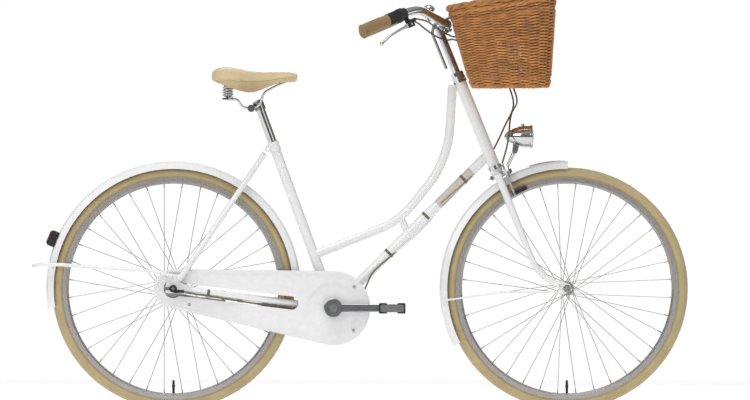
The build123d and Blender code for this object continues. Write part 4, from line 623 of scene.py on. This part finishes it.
def tyre_shape(name, centre, body, phase):
    """Round carcass, chevron blocks each side of a centre rib, bead tucked in the rim, valve."""
    around, across = 1080, 48
    phi = np.linspace(radians(-118), radians(118), across)
    a = np.linspace(0, 2 * pi, around, endpoint=False)
    lateral = TYRE_HALF * np.sin(phi)[None, :] * np.ones((around, 1))
    arc = (a * TYRE_R)[:, None]
    off_centre = np.abs(lateral)
    zone = np.clip((0.0136 - off_centre) / 0.0012, 0, 1)
    slant = (arc + off_centre * 0.9 + np.where(lateral > 0, 0.0035, 0.0)) / (2 * pi * TYRE_R / 180)
    block = np.clip((np.abs((slant % 1.0) - 0.5) - 0.13) / 0.07, 0, 1)
    rib = np.clip((np.abs(off_centre - 0.0031) - 0.0007) / 0.0005, 0, 1)
    line = np.clip((np.abs(off_centre - 0.0092) - 0.0005) / 0.0005, 0, 1)
    cut = np.where(off_centre < 0.0031, rib, np.minimum(np.minimum(rib, line), block))
    depth = 0.0009 * zone * (1 - cut)
    scuff = 0.00012 * np.sin(arc * 37 + phase) * np.sin(arc * 91)
    ridge = 0.00035 * np.exp(-((off_centre - 0.0172) / 0.0005) ** 2)
    rad = TYRE_HALF - depth + scuff + ridge
    r = TYRE_CENTRE + rad * np.cos(phi)[None, :]
    y = rad * np.sin(phi)[None, :]
    bead_r = np.array([0.3205, 0.3165, 0.3165, 0.3205])
    bead_y = np.array([0.0128, 0.0122, -0.0122, -0.0128])
    r = np.concatenate([r, np.broadcast_to(bead_r, (around, 4))], 1)
    y = np.concatenate([y, np.broadcast_to(bead_y, (around, 4))], 1)
    rows = np.stack([centre[0] + r * np.cos(a)[:, None], y, centre[2] + r * np.sin(a)[:, None]], -1)
    s = Shape()
    s.grid(rows, True, True)
    o = s.make(name, M[name], body)
    v = Shape()
    low = centre[2] - 0.303
    m = turned((0, 0, 1), (centre[0], 0, 0))
    v.lathe([(0.0001, low + 0.038), (0.0026, low + 0.038), (0.0030, low + 0.0375), (0.0030, low + 0.0345),
             (0.0036, low + 0.034), (0.0038, low + 0.0335), (0.0034, low + 0.030), (0.0038, low + 0.0285),
             (0.0034, low + 0.0270), (0.0038, low + 0.0255), (0.0038, low + 0.0225), (0.0054, low + 0.022),
             (0.0054, low + 0.0195), (0.0038, low + 0.019), (0.0038, low - 0.0035), (0.0001, low - 0.0035)], 24, m)
    valve = v.make(name + "_valve", M["black_rubber"], body)
    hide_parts(name)


tyre_shape("rear_tyre", REAR, "rear_wheel", 0.3)
tyre_shape("front_tyre", FRONT, "front_wheel", 1.9)

# ------------------------------------------------------------ woven basket
BASKET_Z0, LOW_MID, TOP_MID, RIM_Z = 0.932, FRONT_X - 0.163, FRONT_X - 0.187, 1.186
TILT = radians(9.5)
LOW = (0.226, 0.300, 0.055)
TOP = (0.314, 0.360, 0.075)
STAKES, ROW_PITCH, ROD = 34, 0.0040, 0.0027
WALL = 0.0027
WEAVE_HEIGHT, WALL_HEIGHT = 0.246, 0.254
FLAT_ROWS = (4, 5, 6, 49, 50, 51)          # weavers pulled tight, as waling


def outline(u, size, inset=0.0):
    """Rounded rectangle at share u of its way round; base and rim are divided alike, so the stakes run straight."""
    d, w, c = size[0] / 2 - inset, size[1] / 2 - inset, size[2] - inset
    mean = [(LOW[i] + TOP[i]) / 2 for i in range(3)]
    run_x, run_y, arc = mean[1] / 2 - mean[2], mean[0] / 2 - mean[2], mean[2] * pi / 2
    lengths = np.array([run_x, arc, 2 * run_y, arc, 2 * run_x, arc, 2 * run_y, arc, run_x])
    marks = np.concatenate([[0], np.cumsum(lengths)]) / lengths.sum()
    u = np.asarray(u, float) % 1.0
    out = np.zeros(u.shape + (2,))
    for k in range(9):
        on = (u >= marks[k]) & (u <= marks[k + 1] + 1e-12)
        f = (u[on] - marks[k]) / (marks[k + 1] - marks[k])
        if k == 0:
            p = np.stack([np.full_like(f, d), f * (w - c)], -1)
        elif k == 8:
            p = np.stack([np.full_like(f, d), -(w - c) * (1 - f)], -1)
        elif k == 2:
            p = np.stack([(d - c) * (1 - 2 * f), np.full_like(f, w)], -1)
        elif k == 4:
            p = np.stack([np.full_like(f, -d), (w - c) * (1 - 2 * f)], -1)
        elif k == 6:
            p = np.stack([(d - c) * (2 * f - 1), np.full_like(f, -w)], -1)
        else:
            corners = {1: (d - c, w - c, 0), 3: (c - d, w - c, 90), 5: (c - d, c - w, 180), 7: (d - c, c - w, 270)}
            cx, cy, start = corners[k]
            a = radians(start) + f * pi / 2
            p = np.stack([cx + c * np.cos(a), cy + c * np.sin(a)], -1)
        out[on] = p
    return out


def basket_point(u, h, inset=WALL, lift=0.0):
    """Point on the wall: h 0 at the base, 1 at the rim."""
    u, h = np.broadcast_arrays(np.asarray(u, float), np.asarray(h, float))
    lo, hi = outline(u, LOW, inset), outline(u, TOP, inset)
    low = np.stack([LOW_MID + lo[..., 0], lo[..., 1], np.full(u.shape, BASKET_Z0)], -1)
    high = np.stack([TOP_MID + hi[..., 0] * cos(TILT), hi[..., 1], RIM_Z + hi[..., 0] * sin(TILT)], -1)
    p = low + (high - low) * h[..., None]
    tuck = 1 - 0.06 * np.clip(1 - h / 0.075, 0, 1) ** 2          # the wall rounds in towards the base
    p[..., 0] = LOW_MID + (p[..., 0] - LOW_MID) * tuck
    p[..., 1] *= tuck
    p[..., 2] += lift
    return p


def outward(u, h, inset=WALL):
    """Unit vector out of the wall, level."""
    a, b = basket_point(u - 0.002, h, inset), basket_point(u + 0.002, h, inset)
    t = b - a
    n = np.stack([t[..., 1], -t[..., 0], np.zeros(t.shape[:-1])], -1)
    return n / np.linalg.norm(n, axis=-1)[..., None]


def weave():
    s = Shape()
    per = 8
    n = STAKES * per
    u = np.arange(n) / n
    rows = int(WEAVE_HEIGHT / ROW_PITCH)
    for row in range(rows):
        h = (row + 1.2) / (rows + 1.6)
        band = 0.3 if row in FLAT_ROWS else 1.0
        wobble = (0.0016 * np.sin(2 * pi * (u * 3 + h * 0.6)) + 0.0011 * np.sin(2 * pi * (u * 5 - h * 0.9))
                  + 0.0003 * np.sin(2 * pi * (u * 11 + rng.random())))
        phase = pi * (row % 2)
        wave = np.cos(pi * STAKES * u + phase)
        bow = np.sign(wave) * np.abs(wave) ** 0.75
        hh = h + wobble / WALL_HEIGHT
        p = basket_point(u, hh) + outward(u, hh) * (bow * 0.0036 * band)[:, None]
        p[:, 2] += 0.0007 * np.sin(pi * STAKES * u * 2 + phase)
        r = ROD * (0.95 + 0.14 * rng.random()) * (1 + 0.06 * np.sin(2 * pi * (u * 5 + rng.random())))
        own = 0.52 + 0.16 * rng.standard_normal()
        # painted shade: the tone drops where the rod bows in behind a stake and rises where it bows out in front, so
        # the gaps read dark
        s.tube(p, r, 6, closed=True, tone=np.repeat(np.clip(own + 0.42 * bow, 0, 1), 6))
    return s


def stakes():
    s = Shape()
    for i in range(STAKES):
        for twin in (-1, 1):
            u = (i / STAKES) + twin * 0.0019
            h = np.linspace(0.0, 1.0, 14)
            uu = u + 0.0006 * np.sin(h * 9 + i)
            s.tube(basket_point(uu, h), 0.0019, 6, up=(0.31, 0.95, 0.02), tone=float(rng.random() * 0.5))
    for k in range(22):
        f = 0.985 - 0.0435 * k
        n = STAKES * 6
        u = np.arange(n) / n
        edge = basket_point(u, 0.0, 0.006)
        p = edge * 1.0
        p[:, 0] = LOW_MID + (edge[:, 0] - LOW_MID) * f
        p[:, 1] = edge[:, 1] * f
        p[:, 2] = BASKET_Z0 + 0.0045 + 0.0017 * np.cos(pi * STAKES * u + pi * (k % 2))
        s.tube(p, 0.0026, 6, closed=True, tone=float(rng.random()))
    for i in range(STAKES // 2):
        u = i / STAKES
        a, b = basket_point(u, 0.0, 0.008), basket_point(u + 0.5, 0.0, 0.008)
        f = np.linspace(0, 1, 12)[:, None]
        p = a + (b - a) * f
        p[:, 2] = BASKET_Z0 + 0.0045
        s.tube(p, 0.0018, 6, tone=0.3)
    return s


def braid(h, lift, strands, roll, rod, turns, inset, tone):
    """Border: strands wound round a line that follows the rim."""
    s = Shape()
    n = 720
    u = np.arange(n) / n
    p = basket_point(u, h, inset, lift)
    out = outward(u, h, inset)
    t = np.roll(p, -1, 0) - np.roll(p, 1, 0)
    t /= np.linalg.norm(t, axis=1)[:, None]
    up = np.cross(t, out)
    up *= np.sign(up[:, 2])[:, None]
    for k in range(strands):
        a = 2 * pi * (turns * u + k / strands)
        wave = 1 + 0.10 * np.sin(2 * pi * (u * 7 + k * 0.37))
        q = p + out * (roll * wave * np.cos(a))[:, None] + up * (roll * wave * np.sin(a))[:, None]
        s.tube(q, rod * (0.92 + 0.12 * rng.random()), 8, closed=True,
               tone=float(np.clip(tone + 0.2 * rng.standard_normal(), 0, 1)))
    return s


pieces = {
    "basket_weavers": weave(), "basket_stakes": stakes(),
    "basket_rim_braid": braid(1.0, 0.0, 3, 0.0046, 0.0048, 13, 0.0015, 0.72),
    "basket_rim_twist": braid(0.925, 0.0, 3, 0.0036, 0.0036, 16, 0.0020, 0.6),
    "basket_foot_braid": braid(0.016, 0.0, 4, 0.0036, 0.0030, 16, 0.0030, 0.55),
}
for n, s in pieces.items():
    o = s.make(n, M["willow"], "steering")
    if n == "basket_weavers":
        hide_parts("basket")

# ------------------------------------------------------------ saddle: padded cover, seam and stitches
cover = bpy.data.objects.new("saddle_padded_cover", nodes["saddle_cover"].data.copy())
bpy.context.scene.collection.objects.link(cover)
cover.data.materials.clear()
fix_normals(cover)
re = cover.modifiers.new("remesh", "REMESH")
re.mode, re.voxel_size = "VOXEL", 0.0022
sm = cover.modifiers.new("smooth", "SMOOTH")
sm.factor, sm.iterations = 0.5, 14
dg = bpy.context.evaluated_depsgraph_get()
cover.data = bpy.data.meshes.new_from_object(cover.evaluated_get(dg))
cover.modifiers.clear()
cover.data.name = "saddle_padded_cover"
lo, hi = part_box("saddle_cover")
co = np.array([v.co for v in cover.data.vertices])
nrm = np.array([v.normal for v in cover.data.vertices])
length, half = hi.x - lo.x, (hi.y - lo.y) / 2
fx, fy = (co[:, 0] - lo.x) / length, co[:, 1] / half
groove = np.exp(-(fy / 0.055) ** 2) * np.clip((fx - 0.12) / 0.1, 0, 1) * np.clip((0.8 - fx) / 0.15, 0, 1)
wrinkle = (0.0004 * np.sin(fx * 70 + fy * 9) * np.exp(-((fx - 0.5) / 0.14) ** 2) * np.clip(np.abs(fy) * 3 - 0.9, 0, 1)
           + 0.00025 * np.sin(fx * 33 + 4 * fy) * np.sin(fy * 21))
topside = np.clip(nrm[:, 2] * 1.4, 0, 1)
co += nrm * ((-0.0014 * groove + wrinkle) * topside)[:, None]
cover.data.vertices.foreach_set("co", co.astype(np.float32).ravel())
cover.data.update()
cover.data.materials.append(M["saddle"])
cover.data.shade_smooth()
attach(cover, "saddle")
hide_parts("saddle_cover")

tree = BVHTree.FromObject(cover, bpy.context.evaluated_depsgraph_get())
SEAM = [(0.02, 0.55, 0.20), (0.07, 0.86, 0.30), (0.19, 0.98, 0.36), (0.34, 0.90, 0.32), (0.48, 0.63, 0.30),
        (0.66, 0.36, 0.34), (0.86, 0.25, 0.45), (0.97, 0.17, 0.50)]


def on_saddle(side, f, sideways, up):
    """The nearest point of the cover to a guide point on its shoulder."""
    guide = Vector((lo.x + f * length, side * sideways * half, lo.z + up * (hi.z - lo.z) + 0.006))
    p, n, _, _ = tree.find_nearest(guide)
    return p, n


STITCH_RISE = Vector((0, 0, 0.0035))       # the stitches run this far above the welt
stitches, welt = Shape(), Shape()
table = np.array(SEAM)
for side in (-1, 1):
    f = np.linspace(0.02, 0.97, 240)
    w, z = np.interp(f, table[:, 0], table[:, 1]), np.interp(f, table[:, 0], table[:, 2])
    k = np.ones(13) / 13
    w = np.convolve(np.pad(w, 6, "edge"), k, "valid")
    z = np.convolve(np.pad(z, 6, "edge"), k, "valid")
    found = [on_saddle(side, *x) for x in zip(f, w, z)]
    pts = np.array([p + n * 0.0003 for p, n in found])
    for _ in range(6):
        pts[1:-1] = (pts[:-2] + 2 * pts[1:-1] + pts[2:]) / 4
    welt.tube(pts, 0.0011, 8)
    run = np.concatenate([[0], np.cumsum(np.linalg.norm(np.diff(pts, axis=0), axis=1))])
    for d in np.arange(0.004, run[-1] - 0.004, 0.0046):
        a, b = [Vector([np.interp(x, run, pts[:, i]) for i in range(3)]) for x in (d, d + 0.0029)]
        (a, na, _, _), (b, nb, _, _) = tree.find_nearest(a + STITCH_RISE), tree.find_nearest(b + STITCH_RISE)
        m = (a + b) / 2 + (na + nb) * 0.0003
        stitches.tube([a + na * 0.0001, m, b + nb * 0.0001], [0.00035, 0.00055, 0.00035], 6,
                      up=tuple((na + nb).normalized()))
o = welt.make("saddle_welt", M["saddle"], "saddle")
o = stitches.make("saddle_stitches", M["thread"], "saddle")

# ------------------------------------------------------------ grips: ribbed leather with a sewn seam


def grip_piece(name, side, length, node):
    m = bar_matrix(side)
    rings = [(0.0001, -0.0060), (0.0135, -0.0060), (0.0160, -0.0055), (0.0174, -0.0042), (0.0178, -0.0020),
             (0.0176, 0.0010), (0.0163, 0.0025)]
    z, count = 0.0035, int((length - 0.011) / 0.0056)
    for i in range(count):
        swell = 0.0010 * sin(pi * i / (count - 1))
        for dz, dr in ((0.0, -0.0009), (0.0008, 0.0), (0.0024, 0.0004), (0.0040, 0.0), (0.0049, -0.0009)):
            rings.append((0.0162 + swell + dr, z + dz))
        z += 0.0056
    rings += [(0.0165, length - 0.0045), (0.0174, length - 0.0032), (0.0172, length - 0.0008), (0.0160, length),
              (0.0112, length)]
    s = Shape()
    s.lathe(rings, 72, m)
    o = s.make(name + "_leather", M["grip"], "steering")
    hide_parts(node)
    t = Shape()
    for k in range(count - 1):
        z0 = 0.0035 + 0.0056 * k + 0.0024
        a = m @ Vector((0.0174 * cos(0.09), 0.0174 * sin(0.09), z0))
        b = m @ Vector((0.0174 * cos(-0.09), 0.0174 * sin(-0.09), z0 + 0.0020))
        mid = (a + b) / 2 + (m.to_3x3() @ Vector((1, 0, 0))) * 0.0006
        t.tube([a, mid, b], 0.00045, 6, up=tuple(m.to_3x3() @ Vector((0, 0, 1))))
    o = t.make(name + "_stitches", M["thread"], "steering")


grip_piece("right_grip", -1, 0.088, "right_grip")
grip_piece("left_grip", 1, 0.130, "left_grip")

# ------------------------------------------------------------ headlamp: spun shell, bezel, lens, ears
LAMP_Z, LAMP_R, LAMP_LENGTH = 0.7897, 0.033, 0.0848
PIVOT_AHEAD, PIVOT_Z = 0.031, 0.748
lo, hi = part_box("headlamp")
LAMP_X = hi.x - LAMP_LENGTH
axis = turned((1, 0, 0), (LAMP_X, 0, LAMP_Z))
shell = Shape()
xs = np.linspace(0, 1, 26)
outer = [(max(0.0001, LAMP_R * (1 - (1 - x) ** 1.9) ** 0.62), 0.066 * x) for x in xs]
outer += [(LAMP_R, 0.0735), (LAMP_R + 0.0012, 0.0742), (LAMP_R + 0.0017, 0.0752), (LAMP_R + 0.0017, 0.0806),
          (LAMP_R + 0.0010, 0.0820), (LAMP_R - 0.0012, 0.0822), (LAMP_R - 0.0030, 0.0812), (LAMP_R - 0.0032, 0.0760),
          (0.0280, 0.0690), (0.0200, 0.0520), (0.0100, 0.0330), (0.0001, 0.0260)]
shell.lathe(outer, 96, axis)
shell_o = shell.make("headlamp_shell", M["lamp"], "headlamp", angle=40)
glass = Shape()
glass.lathe([(0.0001, 0.0848), (0.006, 0.08465), (0.012, 0.0842), (0.018, 0.0834), (0.024, 0.0820), (0.0280, 0.0806),
             (0.0298, 0.0796), (0.0298, 0.0762), (0.0270, 0.0762), (0.018, 0.0805), (0.0001, 0.0822)], 72, axis)
glass_o = glass.make("headlamp_glass", M["glass"], "headlamp")
knob = Shape()
knob.lathe([(0.0001, -0.006), (0.0045, -0.006), (0.0045, 0.0032), (0.0036, 0.0046), (0.0001, 0.0050)], 32,
           turned((0, 0, 1), (LAMP_X + 0.054, 0, LAMP_Z + LAMP_R - 0.001)))
for side in (-1, 1):
    y = side * 0.0095
    top, low = LAMP_Z - 0.016, PIVOT_Z
    px = LAMP_X + PIVOT_AHEAD
    pts = []
    for a in np.linspace(-pi, 0, 17):
        pts.append((px + 0.008 * cos(a), low + 0.008 * sin(a)))
    pts += [(px + 0.0115, low + 0.014), (px + 0.0125, top), (px - 0.0055, top), (px - 0.0060, low + 0.012)]
    rows = np.array([[(x, y + d, z) for x, z in pts] for d in (-0.0015, -0.0012, 0.0012, 0.0015)])
    centre = rows.mean(1, keepdims=True)
    rows[[0, 3]] = centre[[0, 3]] + (rows[[0, 3]] - centre[[0, 3]]) * np.array([0.97, 1.0, 0.985])
    knob.grid(rows, False, True, caps=True)
knob.lathe([(0.0001, -0.0135), (0.0030, -0.0135), (0.0042, -0.0125), (0.0042, -0.0110), (0.0024, -0.0108),
            (0.0024, 0.0108), (0.0042, 0.0110), (0.0042, 0.0125), (0.0030, 0.0135), (0.0001, 0.0135)], 24,
           turned((0, 1, 0), (px, 0, low)))
knob_o = knob.make("headlamp_ears", M["dark_chrome"], "headlamp", angle=35)
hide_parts("headlamp")

# ------------------------------------------------------------ cables
BRAKE = [(0.1612, -0.2149, 1.1273), (0.1904, -0.1849, 1.1248), (0.2126, -0.1477, 1.1079), (0.2346, -0.1095, 1.0929),
         (0.2513, -0.066, 1.0848), (0.2607, -0.0218, 1.0828), (0.2604, 0.0256, 1.0824), (0.2614, 0.072, 1.082),
         (0.2696, 0.1168, 1.0803), (0.2856, 0.1604, 1.0773), (0.3142, 0.1966, 1.0694), (0.3542, 0.2094, 1.0514),
         (0.3902, 0.2092, 1.023), (0.4174, 0.1977, 0.9871), (0.4393, 0.1854, 0.947), (0.4541, 0.1591, 0.9117),
         (0.4568, 0.1188, 0.8893), (0.4503, 0.0761, 0.8758), (0.4395, 0.0331, 0.8596), (0.4335, -0.0035, 0.8319),
         (0.4317, -0.0315, 0.7956), (0.4242, -0.0486, 0.7529), (0.4114, -0.0535, 0.7116)]
SHIFT = [(0.1291, -0.2154, 1.1279), (0.1614, -0.1902, 1.1221), (0.1871, -0.162, 1.0996), (0.2114, -0.1257, 1.0827),
         (0.2361, -0.0891, 1.0704), (0.2537, -0.0481, 1.0678), (0.2641, -0.0032, 1.0698), (0.2644, 0.043, 1.0721),
         (0.2688, 0.0879, 1.0721), (0.2804, 0.1313, 1.069), (0.3011, 0.1718, 1.0619), (0.337, 0.194, 1.0466),
         (0.3751, 0.1983, 1.0224), (0.4043, 0.1889, 0.9889), (0.4266, 0.178, 0.9505), (0.442, 0.1571, 0.9137),
         (0.4475, 0.1244, 0.8823), (0.4393, 0.0885, 0.8556), (0.4224, 0.0576, 0.8269), (0.406, 0.04, 0.7888),
         (0.3854, 0.0298, 0.7484), (0.3615, 0.0249, 0.7109), (0.3233, 0.0186, 0.6873)]


def cord_curve(name, points, bevel):
    data = bpy.data.curves.new(name, "CURVE")
    data.dimensions = "3D"
    sp = data.splines.new("NURBS")
    sp.points.add(len(points) - 1)
    for p, q in zip(sp.points, points):
        p.co = (*q, 1.0)
    sp.order_u = 3
    sp.use_endpoint_u = True
    data.resolution_u = 8
    data.bevel_depth = bevel
    data.bevel_resolution = 3
    data.use_fill_caps = True
    o = bpy.data.objects.new(name, data)
    bpy.context.scene.collection.objects.link(o)
    return o


def line_of(name, points):
    """Points along the spline itself, from the curve with no bevel."""
    probe = cord_curve(name, points, 0.0)
    dg = bpy.context.evaluated_depsgraph_get()
    me = bpy.data.meshes.new_from_object(probe.evaluated_get(dg))
    out = [tuple(v.co) for v in me.vertices]
    bpy.data.objects.remove(probe)
    return out


CABLE_D = 0.005
brake_line = line_of("probe_brake", BRAKE)
brake = cord_curve("brake_cable_sleeve", BRAKE, CABLE_D / 2)
brake.data.materials.append(M["cable"])
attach(brake, "steering")
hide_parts("brake_cable")

shift_line = line_of("probe_shift", SHIFT)
tube_source = cord_curve("shift_source", SHIFT, CABLE_D / 2)
dg = bpy.context.evaluated_depsgraph_get()
shift_mesh = bpy.data.meshes.new_from_object(tube_source.evaluated_get(dg))
bpy.data.objects.remove(tube_source)
shift_mesh.materials.clear()
shift_mesh.materials.append(M["cable"])
shift_mesh.shade_smooth()
shift = bpy.data.objects.new("gear_cable_sleeve", shift_mesh)
bpy.context.scene.collection.objects.link(shift)
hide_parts("front_shift_cable")
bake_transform(shift)

# ------------------------------------------------------------ smooth shading for curved CAD surfaces
for n, o in nodes.items():
    if not o.hide_render:
        o.data.shade_smooth()
        o.data.set_sharp_from_angle(angle=radians(32))
